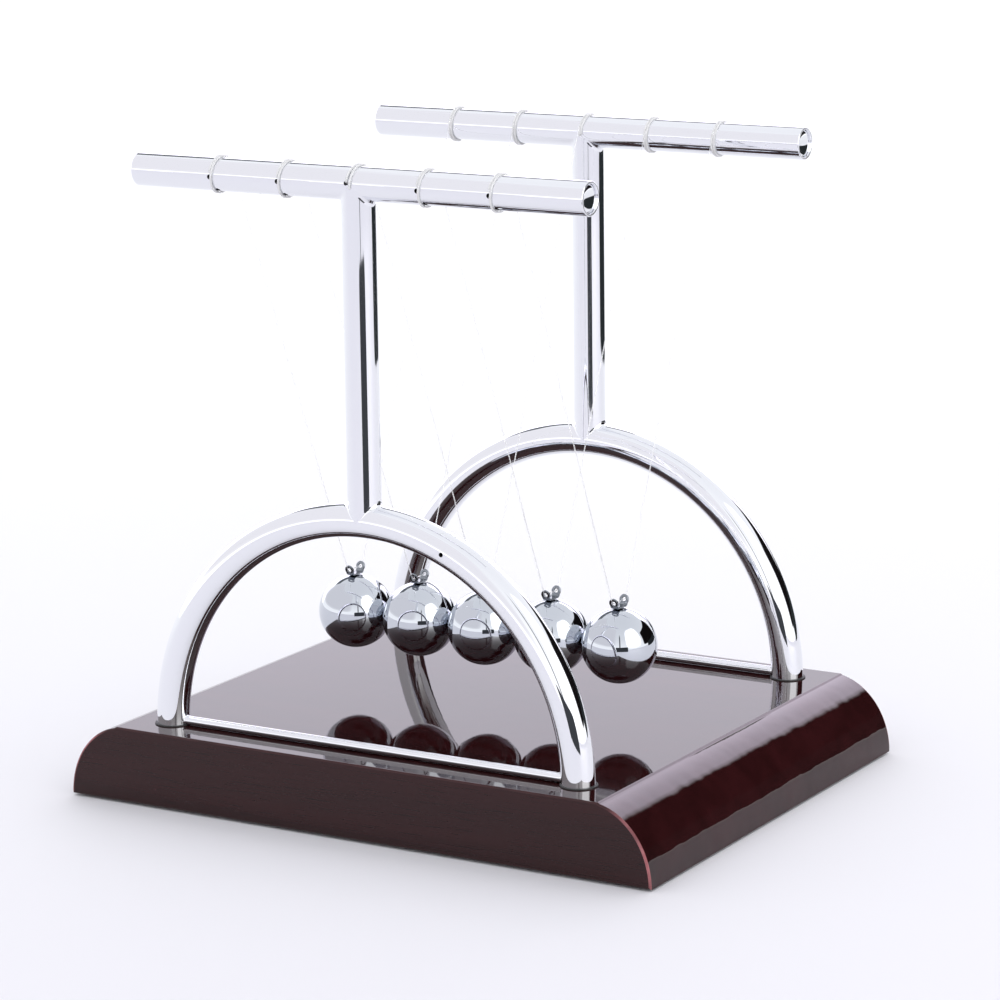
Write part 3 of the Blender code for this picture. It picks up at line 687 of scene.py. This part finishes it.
for side, sign in SIDES.items():
    place = Matrix.Translation((0, sign * FRAME_Y, BAR_HEIGHT)) @ along_x
    mesh = mesh_from(turned(profile, 64, place), f"{side}_bar_tube")
    drills = bmesh.new()
    for centre in BALLS:
        at_post = abs(centre.x) < TUBE_RADIUS
        for shift, hole in zip((-WIND_DRIFT, WIND_END), HOLES[at_post]):
            aim = Matrix.Rotation(sign * (math.radians(hole) - math.pi / 2), 4, "X")
            spot = Matrix.Translation((centre.x + shift, sign * FRAME_Y, BAR_HEIGHT))
            drill = mesh_from(turned(bit, 16, spot @ aim), "drill")
            drills.from_mesh(drill)
            bpy.data.meshes.remove(drill)
    mesh = carved(mesh, drills)
    tube = put(f"{side}_bar_tube", mesh, chrome, "stand", [f"{side}_bar"], 40.0)
    # Painted shade inside the winding holes.
    paint_hole_shade(tube, lambda spot: abs(spot.x) < BAR_HALF - BORE_END - MM and math.hypot(
        spot.y - sign * FRAME_Y, spot.z - BAR_HEIGHT) < TUBE_RADIUS - HOLE_SHADE_MARGIN)
    for end_name, way in (("left", -1), ("right", 1)):
        spot = Matrix.Translation((way * (BAR_HALF - PLUG_INSET - PLUG_DOME), sign * FRAME_Y,
                                   BAR_HEIGHT))
        turn = Matrix.Rotation(way * math.pi / 2, 4, "Y")
        put(f"{side}_plug_{end_name}_dome",
            mesh_from(turned(plug_profile, 48, spot @ turn), "plug"), chrome, "stand",
            [f"{side}_plug_{end_name}"], 40.0)
print("bar length", round(2 * BAR_HALF / MM, 1), "mm")

# %% [markdown]
# ## Tie rods
# A thin rod welded between the feet of each arch keeps the legs from spreading while the frame
# is bent and plated. It lies a hair above the board. A small collar of weld shows where it
# meets a leg.

# %% Tie rods
ROD_CLEAR = 0.05 * MM
ROD_HEIGHT = BASE_TOP + ROD_RADIUS + ROD_CLEAR
ROD_REACH = LEG_X - TUBE_RADIUS
ROD_END = LEG_X - TUBE_RADIUS / 2
COLLAR = 0.8 * MM
COLLAR_START = ROD_REACH - 1.1 * COLLAR
COLLAR_LENGTH = 1.5 * COLLAR
COLLAR_STEPS = 7
half_rod = [(ROD_RADIUS, ROD_REACH - 2 * COLLAR)]
for k in range(1, COLLAR_STEPS + 1):
    angle = math.pi / 2 * k / COLLAR_STEPS
    half_rod.append((ROD_RADIUS + COLLAR * (1 - math.cos(angle)),
                     COLLAR_START + COLLAR_LENGTH * math.sin(angle)))
half_rod += [(ROD_RADIUS * 0.8, ROD_END), (0, ROD_END)]
rod_profile = [(r, -z) for r, z in reversed(half_rod)] + half_rod
for side, sign in SIDES.items():
    place = Matrix.Translation((0, sign * FRAME_Y, ROD_HEIGHT)) @ along_x
    rod = mesh_from(turned(rod_profile, 32, place), f"{side}_rod")
    put(f"{side}_rod", rod, chrome, "stand", [f"{side}_tie_rod"], 50.0)
print("tie rod", round(2 * ROD_RADIUS / MM, 1), "mm thick")

# %% [markdown]
# ## Balls
# The balls are bearing balls: ground between plates until they are round to microns. A profile
# of half a circle turned on a lathe gives clean quads and two poles.

# %% Balls
BALL_STEPS = 56
for number, centre in enumerate(BALLS, 1):
    profile = [(BALL_RADIUS * math.sin(math.pi * k / BALL_STEPS),
                -BALL_RADIUS * math.cos(math.pi * k / BALL_STEPS))
               for k in range(BALL_STEPS + 1)]
    profile[0] = (0, -BALL_RADIUS)
    profile[-1] = (0, BALL_RADIUS)
    ball = mesh_from(turned(profile, 96, Matrix.Translation(centre)), f"steel_ball_{number}")
    put(f"steel_ball_{number}", ball, ball_plate, f"pendulum_{number}", [f"ball_{number}"])
print("balls", len(BALLS))

# %% [markdown]
# ## Clips
# Each ball carries a small folded clip: a strip of plated steel bent up at both ends into two
# round eyes. The strip is drawn as a bent ribbon, each eye is a turned disc joined to it, and
# the holes go through both, with the edges left slightly round as a tumbled stamping has.
# FOLD is the ribbon's bend from ear to ball, as (y, z) from the foot of the ear.

# %% Clips
EYE_RADIUS = 1.35 * MM
EYE_HOLE = 0.55 * MM
STRIP = 0.5 * MM
EYE_APART = 2.75 * MM
EYE_RISE = 1.75 * MM
EYE_LEAN = math.radians(15.0)
STRIP_HALF_WIDTH = 1.15 * MM
STRIP_SOFT = 0.1 * MM
EYE_SOFT = 0.12 * MM
SQUARE_CORNER = 1.2
FOLD = ((-0.12 * MM, 0.75 * MM), (0.12 * MM, 0.42 * MM), (0.5 * MM, 0.30 * MM))


def clip_mesh(centre):
    """The clip on the ball at this centre: a ribbon across, an eye at each end, two holes."""
    top = centre.z + BALL_RADIUS
    foot = EYE_APART - EYE_RISE * math.tan(EYE_LEAN)
    path = [(-EYE_APART, top + EYE_RISE), *((y - foot, top + z) for y, z in FOLD)]
    path += [(-y, z) for y, z in reversed(path)]
    work = bmesh.new()
    rows = []
    for k, (y, z) in enumerate(path):
        before, after = path[max(k - 1, 0)], path[min(k + 1, len(path) - 1)]
        along = Vector((0, after[0] - before[0], after[1] - before[1])).normalized()
        normal = Vector((0, -along.z, along.y)) * STRIP / 2
        point = Vector((centre.x, y, z))
        across = Vector((STRIP_HALF_WIDTH, 0, 0))
        rows.append([work.verts.new(point + a + n) for a, n in (
            (across, normal), (-across, normal), (-across, -normal), (across, -normal))])
    for first, second in zip(rows, rows[1:]):
        for k in range(4):
            work.faces.new((first[k], first[(k + 1) % 4], second[(k + 1) % 4], second[k]))
    work.faces.new(rows[0])
    work.faces.new(rows[-1])
    bmesh.ops.recalc_face_normals(work, faces=work.faces)
    long_edges = [e for e in work.edges if abs(e.verts[0].co.x - e.verts[1].co.x) < 1e-7
                  and e.calc_face_angle(0) > SQUARE_CORNER]
    bmesh.ops.bevel(work, geom=long_edges, offset=STRIP_SOFT, segments=2, affect="EDGES")
    mesh = mesh_from(work, "strip")
    holes = bmesh.new()
    half = STRIP / 2
    wide = EYE_HOLE + EYE_SOFT
    for sign in SIDES.values():
        eye = Matrix.Translation((centre.x, sign * EYE_APART, top + EYE_RISE))
        lean = Matrix.Rotation(math.pi / 2 - sign * EYE_LEAN, 4, "X")
        outline = [(0, -half), (EYE_RADIUS - EYE_SOFT, -half), (EYE_RADIUS, EYE_SOFT - half),
                   (EYE_RADIUS, half - EYE_SOFT), (EYE_RADIUS - EYE_SOFT, half), (0, half)]
        mesh = carved(mesh, turned(outline, 32, eye @ lean), "UNION")
        bore = [(0, -MM), (wide, -MM), (wide, -half), (EYE_HOLE, EYE_SOFT - half),
                (EYE_HOLE, half - EYE_SOFT), (wide, half), (wide, MM), (0, MM)]
        one = mesh_from(turned(bore, 24, eye @ lean), "bore")
        holes.from_mesh(one)
        bpy.data.meshes.remove(one)
    return carved(mesh, holes)


for number, centre in enumerate(BALLS, 1):
    put(f"eye_clip_{number}", clip_mesh(centre), clip_plate, f"pendulum_{number}",
        [f"clip_{number}"], 40.0)
print("clips", len(BALLS))

# %% [markdown]
# ## Turns of line on the bars
# The line comes out of a drilled hole, is wound twice round the bar, leaning as a hand-wound
# turn does, and goes back in at a second hole, where a drop of glue holds it. A node tree grows
# one winding: a straight line of points is moved onto a leaning helix, whose two ends dive into
# the holes, and a round section is swept along it. At the middle the post is in the way, so two
# strands only go over the top. OVER_POST says for each where it stops, in degrees from the
# outer side, and the places along the bar, from the ball's middle, where it starts and stops.

# %% Windings
LINE_RADIUS = 0.3 * MM
LINE_SIDES = 10
LINE_PRESS = 0.02 * MM
WIND_RADIUS = TUBE_RADIUS + LINE_RADIUS - LINE_PRESS
WIND_LEAN = 0.45 * MM
LINE_STEPS = 180
DIVE_SHARE = 0.035
TWO_TURNS = 720.0
OVER_POST = ((196.0, -WIND_DRIFT, 0.1 * MM), (189.0, WIND_END, 0.45 * MM))
MATH = "ShaderNodeMath"
wound, ports, end = new_growth(
    "wound line", Start_Angle=0.0, Sweep=6.28, Side=1.0, Place_X=0.0, Front_Offset=0.0,
    Height=0.0, Start_Drift=0.0, End_Drift=0.0, Lean=0.0, Radius=0.0046, Line_Radius=0.0003,
    Dive=0.0015, Steps=LINE_STEPS, Finish=wound_nylon)
straight = add(wound, "GeometryNodeMeshLine", {"mode": "OFFSET"}, Count=ports["Steps"])
index = add(wound, "GeometryNodeInputIndex").outputs[0]
last = add(wound, MATH, {"operation": "SUBTRACT"}, i0=ports["Steps"], i1=1.0).outputs[0]
share = add(wound, MATH, {"operation": "DIVIDE"}, i0=index, i1=last).outputs[0]
angle = add(wound, MATH, {"operation": "MULTIPLY_ADD"}, i0=ports["Sweep"], i1=share,
            i2=ports["Start Angle"]).outputs[0]
rest = add(wound, MATH, {"operation": "SUBTRACT"}, i0=1.0, i1=share).outputs[0]
nearest_end = add(wound, MATH, {"operation": "MINIMUM"}, i0=share, i1=rest).outputs[0]
rise = add(wound, "ShaderNodeMapRange", {"interpolation_type": "SMOOTHSTEP"},
           Value=nearest_end, From_Max=DIVE_SHARE)
below = add(wound, MATH, {"operation": "SUBTRACT"}, i0=1.0, i1=rise.outputs[0]).outputs[0]
sunk = add(wound, MATH, {"operation": "MULTIPLY"}, i0=below, i1=ports["Dive"]).outputs[0]
radius = add(wound, MATH, {"operation": "SUBTRACT"}, i0=ports["Radius"], i1=sunk).outputs[0]
drift = add(wound, "ShaderNodeMapRange", Value=share, To_Min=ports["Start Drift"],
            To_Max=ports["End Drift"])
sine = add(wound, MATH, {"operation": "SINE"}, i0=angle).outputs[0]
cosine = add(wound, MATH, {"operation": "COSINE"}, i0=angle).outputs[0]
swing = add(wound, MATH, {"operation": "MULTIPLY"}, i0=ports["Lean"], i1=sine).outputs[0]
moved = add(wound, MATH, {"operation": "MULTIPLY_ADD"}, i0=swing, i1=rise.outputs[0],
            i2=drift.outputs[0]).outputs[0]
x = add(wound, MATH, {"operation": "ADD"}, i0=ports["Place X"], i1=moved).outputs[0]
out = add(wound, MATH, {"operation": "MULTIPLY"}, i0=cosine, i1=radius).outputs[0]
y = add(wound, MATH, {"operation": "MULTIPLY_ADD"}, i0=out, i1=ports["Side"],
        i2=ports["Front Offset"]).outputs[0]
z = add(wound, MATH, {"operation": "MULTIPLY_ADD"}, i0=sine, i1=radius,
        i2=ports["Height"]).outputs[0]
spot = add(wound, "ShaderNodeCombineXYZ", X=x, Y=y, Z=z)
laid = add(wound, "GeometryNodeSetPosition", Geometry=straight.outputs[0],
           Position=spot.outputs[0])
path = add(wound, "GeometryNodeMeshToCurve", Mesh=laid.outputs[0])
ring = add(wound, "GeometryNodeCurvePrimitiveCircle", Resolution=LINE_SIDES,
           Radius=ports["Line Radius"])
skin = add(wound, "GeometryNodeCurveToMesh", Curve=path.outputs[0],
           Profile_Curve=ring.outputs[0], Fill_Caps=True)
coated = add(wound, "GeometryNodeSetMaterial", Geometry=skin.outputs[0],
             Material=ports["Finish"])
wound.links.new(coated.outputs[0], end)


def winding(sign, x, start, stop, drift_from, drift_to):
    """One strand on the front or rear bar, from angle start to stop in degrees."""
    return grow(wound, Start_Angle=math.radians(start), Sweep=math.radians(stop - start),
                Side=float(sign), Place_X=x, Front_Offset=sign * FRAME_Y, Height=BAR_HEIGHT,
                Start_Drift=drift_from, End_Drift=drift_to, Lean=WIND_LEAN,
                Radius=WIND_RADIUS, Line_Radius=LINE_RADIUS)


for side, sign in SIDES.items():
    for number, centre in enumerate(BALLS, 1):
        at_post = abs(centre.x) < TUBE_RADIUS
        first, second = HOLES[at_post]
        strands = [(first, second + TWO_TURNS, -WIND_DRIFT, WIND_END)]
        if at_post:
            strands = [(hole, *ends) for hole, ends in zip((first, second), OVER_POST)]
        work = bmesh.new()
        for strand in strands:
            work.from_mesh(winding(sign, centre.x, *strand))
        put(f"{side}_wound_line_{number}", mesh_from(work, f"{side}_wound_line_{number}"),
            wound_nylon, "stand", [f"{side}_winding_{number}"], 70.0)
print("windings", 2 * len(BALLS))

# %% [markdown]
# ## Seat rings, pads and screws
# Under each leg sits a thin black ring that keeps the plated tube off the lacquer. From below,
# in a counterbore, a zinc-plated socket screw with a washer reaches a threaded insert in each
# leg, and four felt pads keep the board off the table. Each kind is turned once and a node tree
# sets four of it out at the corners of a rectangle.

# %% Four of a kind
rubber, rubber_tree, rubber_shader = new_finish(
    "moulded_black_rubber", Base_Color=linear("1b1a1b"), Roughness=0.5, IOR=1.52)
where = add(rubber_tree, "ShaderNodeTexCoord").outputs["Object"]
bloom = add(rubber_tree, "ShaderNodeTexNoise", Vector=where, Scale=1800.0, Detail=2.0)
spread = add(rubber_tree, "ShaderNodeMapRange", Value=bloom.outputs["Fac"], To_Min=0.4,
             To_Max=0.65)
rubber_tree.links.new(spread.outputs["Result"], rubber_shader.inputs["Roughness"])

felt, felt_tree, felt_shader = new_finish(
    "pressed_black_felt", Base_Color=linear("1a1a1c"), Roughness=0.95, IOR=1.5,
    Sheen_Weight=0.6)
where = add(felt_tree, "ShaderNodeTexCoord").outputs["Object"]
fibre = add(felt_tree, "ShaderNodeTexNoise", Vector=where, Scale=2600.0, Detail=4.0)
nap = add(felt_tree, "ShaderNodeBump", Height=fibre.outputs["Fac"], Strength=0.7,
          Distance=0.1 * MM)
felt_tree.links.new(nap.outputs["Normal"], felt_shader.inputs["Normal"])

zinc = polished("blue_zinc_plated_steel", "b9bec4", 0.24, 0.42, 900.0)

fours, ports, end = new_growth("four at the corners", Between_X=0.1, Between_Y=0.1,
                               Finish=zinc)
corners = add(fours, "GeometryNodeMeshGrid", Size_X=ports["Between X"],
              Size_Y=ports["Between Y"], Vertices_X=2, Vertices_Y=2)
copies = add(fours, "GeometryNodeInstanceOnPoints", Points=corners.outputs[0],
             Instance=ports["Geometry"])
real = add(fours, "GeometryNodeRealizeInstances", Geometry=copies.outputs[0])
coated = add(fours, "GeometryNodeSetMaterial", Geometry=real.outputs[0],
             Material=ports["Finish"])
fours.links.new(coated.outputs[0], end)
CORNERS = ("front_left", "front_right", "rear_left", "rear_right")


def four(name, mesh, finish, spread_x, spread_y, node):
    """Four copies of a mesh at plus and minus the spreads, which stand for the node's four."""
    made = grow(fours, mesh, Between_X=2 * spread_x, Between_Y=2 * spread_y, Finish=finish)
    return put(name, made, finish, "stand", [f"{node}_{c}" for c in CORNERS])


SEAT_HIGH = BASE_TOP + 0.32 * MM
SEAT_LOW = BASE_TOP - 0.3 * MM
SEAT_OUT = TUBE_RADIUS + 0.5 * MM
SEAT_IN = TUBE_RADIUS - 0.4 * MM
SEAT_SOFT = 0.15 * MM
seat = [(SEAT_IN, SEAT_LOW), (SEAT_OUT, SEAT_LOW), (SEAT_OUT, SEAT_HIGH - SEAT_SOFT)]
for angle in (0.4, 0.8, 1.2, math.pi / 2):
    seat.append((SEAT_OUT - SEAT_SOFT * (1 - math.cos(angle)),
                 SEAT_HIGH - SEAT_SOFT * (1 - math.sin(angle))))
seat.append((SEAT_IN, SEAT_HIGH))
four("leg_seat_rings", mesh_from(turned(seat, 48), "seat"), rubber, LEG_X,
     FRAME_Y, "leg_seat")

PAD_RADIUS = 6.0 * MM
PAD_RIM = ((0.25 * MM, 0), (0.08 * MM, 0.06 * MM), (0, 0.2 * MM))
pad_high = BASE_UNDER + PAD_SEAT_DEPTH
disc = [(0, 0), *((PAD_RADIUS - inset, z) for inset, z in PAD_RIM), (PAD_RADIUS, pad_high),
        (0, pad_high)]
four("felt_pads", mesh_from(turned(disc, 48), "pad"), felt, pad.x, pad.y,
     "foot_pad")

head_low, head_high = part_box("leg_screw_rear_right")
washer_low, washer_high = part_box("leg_washer_rear_right")
HEAD_RADIUS = (head_high.x - head_low.x) / 2
HEAD_SOFT = 0.35 * MM
SHANK_RADIUS = 1.7 * MM
KEY_RADIUS = 1.5 * MM
KEY_DEPTH = 1.4 * MM
KEY_POINT = 1.6 * MM
screw = [(0, head_low.z), (HEAD_RADIUS - HEAD_SOFT, head_low.z)]
for angle in (0.5, 1.0, math.pi / 2):
    screw.append((HEAD_RADIUS - HEAD_SOFT * (1 - math.sin(angle)),
                  head_low.z + HEAD_SOFT * (1 - math.cos(angle))))
screw += [(HEAD_RADIUS, washer_low.z), (SHANK_RADIUS, washer_low.z),
          (SHANK_RADIUS, head_high.z), (0, head_high.z)]
key_hole = [(0, head_low.z - MM), (KEY_RADIUS, head_low.z - MM),
            (KEY_RADIUS, head_low.z + KEY_DEPTH), (0, head_low.z + KEY_POINT)]
screw_mesh = carved(mesh_from(turned(screw, 48), "screw"), turned(key_hole, 6))
four("socket_screws", screw_mesh, zinc, LEG_X, FRAME_Y, "leg_screw")

CLEAR_RADIUS = 1.9 * MM
WASHER_SOFT = 0.12 * MM
outer = (washer_high.x - washer_low.x) / 2
washer = [(CLEAR_RADIUS, washer_low.z), (outer - WASHER_SOFT, washer_low.z),
          (outer, washer_low.z + WASHER_SOFT), (outer, washer_high.z),
          (CLEAR_RADIUS, washer_high.z)]
four("washers", mesh_from(turned(washer, 48), "washer"), zinc, LEG_X, FRAME_Y,
     "leg_washer")

insert_low, insert_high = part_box("leg_insert_rear_right")
outer = (insert_high.x - insert_low.x) / 2
sleeve = [(CLEAR_RADIUS, insert_low.z), (outer, insert_low.z), (outer, insert_high.z),
          (CLEAR_RADIUS, insert_high.z)]
four("leg_inserts_turned", mesh_from(turned(sleeve, 32), "insert"), zinc, LEG_X,
     FRAME_Y, "leg_insert")
print("fixings set out at", round(LEG_X / MM, 1), round(FRAME_Y / MM, 1), "mm")

# %% [markdown]
# ## Table, cards of light and dark cards
# Bright plate shows its room more than itself, so the room is made with care: a pale table,
# painted a little darker towards the camera as painted shade, a large soft light to the right,
# a bright sweep and a strip light behind, a pale wall to the front left, and a few dark cards,
# which put the crisp dark lines into the chrome that gaps in a studio give. Only reflections
# see the cards, but for the one that lights matt surfaces.

# %% Studio
FLOOR = 8.0
floor_mesh = bpy.data.meshes.new("floor")
floor_mesh.from_pydata([(-FLOOR, -FLOOR, 0), (FLOOR, -FLOOR, 0), (FLOOR, FLOOR, 0),
                        (-FLOOR, FLOOR, 0)], [], [(0, 1, 2, 3)])
floor = bpy.data.objects.new("floor", floor_mesh)
bpy.context.scene.collection.objects.link(floor)
table_top, table, table_shader = new_finish("matt_white_table", Roughness=0.75)
# Painted shade: the table's colour grows darker towards the camera, as the light falls from
# behind.
where = add(table, "ShaderNodeTexCoord").outputs["Object"]
towards = add(table, "ShaderNodeVectorMath", {"operation": "DOT_PRODUCT"}, i0=where,
              i1=(CAMERA_AHEAD.x, CAMERA_AHEAD.y, 0.0))
shade_towards_camera = add(table, "ShaderNodeMapRange", Value=towards.outputs["Value"], From_Min=-0.25,
              From_Max=0.6)
floor_shade_ramp = add(table, "ShaderNodeValToRGB", Fac=shade_towards_camera.outputs["Result"])
floor_shade_ramp.color_ramp.elements[0].color = linear("e8e6ec")
floor_shade_ramp.color_ramp.elements[1].color = linear("f4f4f5")
table.links.new(floor_shade_ramp.outputs["Color"], table_shader.inputs["Base Color"])
floor_mesh.materials.append(table_top)
CARD_POINTS = 64
CARD_MIDDLE = 0.06
CARD_SHARES = (0.0, 0.25, 0.5, 0.75, 1.0)


def card(name, azimuths, heights, distance, colour, power=1.0, corner=8.0, lights="gloss",
         feather=0.02):
    """A curved card round the object. azimuths are in degrees, 0 at the front and 90 at the
    right, and heights are elevations seen from CARD_MIDDLE above the table. corner says how
    square it is, from 2 for an ellipse upwards. lights says whether only reflections see it
    ("gloss"), or only matt surfaces are lit by it ("matt"). feather is the share of it that
    fades out towards its edge."""
    work = bmesh.new()
    mid_a, half_a = sum(azimuths) / 2, (azimuths[1] - azimuths[0]) / 2
    mid_e, half_e = sum(heights) / 2, (heights[1] - heights[0]) / 2
    rings = []
    for share in CARD_SHARES:
        ring = []
        for k in range(CARD_POINTS if share else 1):
            t = 2 * math.pi * k / CARD_POINTS
            c, s = math.cos(t), math.sin(t)
            a = mid_a + half_a * share * math.copysign(abs(c) ** (2 / corner), c)
            e = mid_e + half_e * share * math.copysign(abs(s) ** (2 / corner), s)
            a, e = math.radians(a), math.radians(e)
            ring.append(work.verts.new((
                distance * math.cos(e) * math.sin(a), -distance * math.cos(e) * math.cos(a),
                CARD_MIDDLE + distance * math.sin(e))))
        rings.append(ring)
    for first, second in zip(rings, rings[1:]):
        for k in range(CARD_POINTS):
            corners = [first[k % len(first)], second[k], second[(k + 1) % CARD_POINTS],
                       first[(k + 1) % len(first)]]
            work.faces.new(list(dict.fromkeys(corners)))
    mesh = bpy.data.meshes.new(name)
    work.to_mesh(mesh)
    work.free()
    inward = mesh.attributes.new("inward", "FLOAT", "POINT")
    for k, point in enumerate(inward.data):
        point.value = 1 - CARD_SHARES[(k + CARD_POINTS - 1) // CARD_POINTS]
    shown = bpy.data.materials.new(name)
    shown.use_nodes = True
    tree = shown.node_tree
    glow = add(tree, "ShaderNodeEmission", Color=linear(colour), Strength=power)
    depth = add(tree, "ShaderNodeAttribute", {"attribute_name": "inward"})
    soft = add(tree, "ShaderNodeMapRange", Value=depth.outputs["Fac"], From_Max=feather)
    through = add(tree, "ShaderNodeBsdfTransparent")
    mixed = add(tree, "ShaderNodeMixShader", Fac=soft.outputs["Result"], i1=through.outputs[0],
                i2=glow.outputs[0])
    tree.links.new(mixed.outputs[0], tree.nodes["Material Output"].inputs["Surface"])
    mesh.materials.append(shown)
    obj = bpy.data.objects.new(name, mesh)
    bpy.context.scene.collection.objects.link(obj)
    obj.visible_camera = False
    obj.visible_shadow = False
    obj.visible_diffuse = lights == "matt"
    obj.visible_glossy = lights == "gloss"
    obj.visible_transmission = False


card("softbox", (50, 103), (1, 56), 1.1, "ffffff", 3.0, 3.4, feather=0.2)
card("softbox_on_matt", (45, 108), (10, 54), 1.1, "ffffff", 1.4, 3.4, "matt")
card("bright_sweep", (172, 262), (-3, 31), 2.9, "f6f2ff", 2.15, 6.0)
card("rear_strip_light", (165, 200), (20, 38), 2.4, "f0e6f8", 4.4, 5.0, feather=0.3)
card("gap_over_sweep", (200, 252), (31, 43), 2.6, "707478")
card("dark_right", (108, 167), (2, 34), 2.2, "141112", feather=0.08)
card("right_table_edge", (122, 190), (-5, 4), 0.56, "2a2e30")
card("camera_side_low", (22, 58), (-9, 4.2), 0.42, "404246")
card("camera_side", (33, 37), (-4, 42), 0.44, "4a4d52", feather=0.4)
card("front_left_wall", (-110, 20), (6, 62), 2.4, "f0eff4", 1.06, feather=0.15)

world = bpy.data.worlds.new("pale_room")
bpy.context.scene.world = world
world.use_nodes = True
sky = world.node_tree
ray = add(sky, "ShaderNodeTexCoord")
up = add(sky, "ShaderNodeSeparateXYZ", Vector=ray.outputs["Generated"])
fade = add(sky, "ShaderNodeValToRGB", Fac=up.outputs["Z"])
fade.color_ramp.elements[0].color = (1.0, 1.0, 1.01, 1)
fade.color_ramp.elements[1].color = (0.68, 0.69, 0.72, 1)
fade.color_ramp.elements.new(0.5).color = (0.76, 0.77, 0.79, 1)
sky.links.new(fade.outputs["Color"], sky.nodes["Background"].inputs["Color"])
sky.nodes["Background"].inputs["Strength"].default_value = 1.4
bpy.context.scene.view_settings.view_transform = "Standard"
print("studio ready")
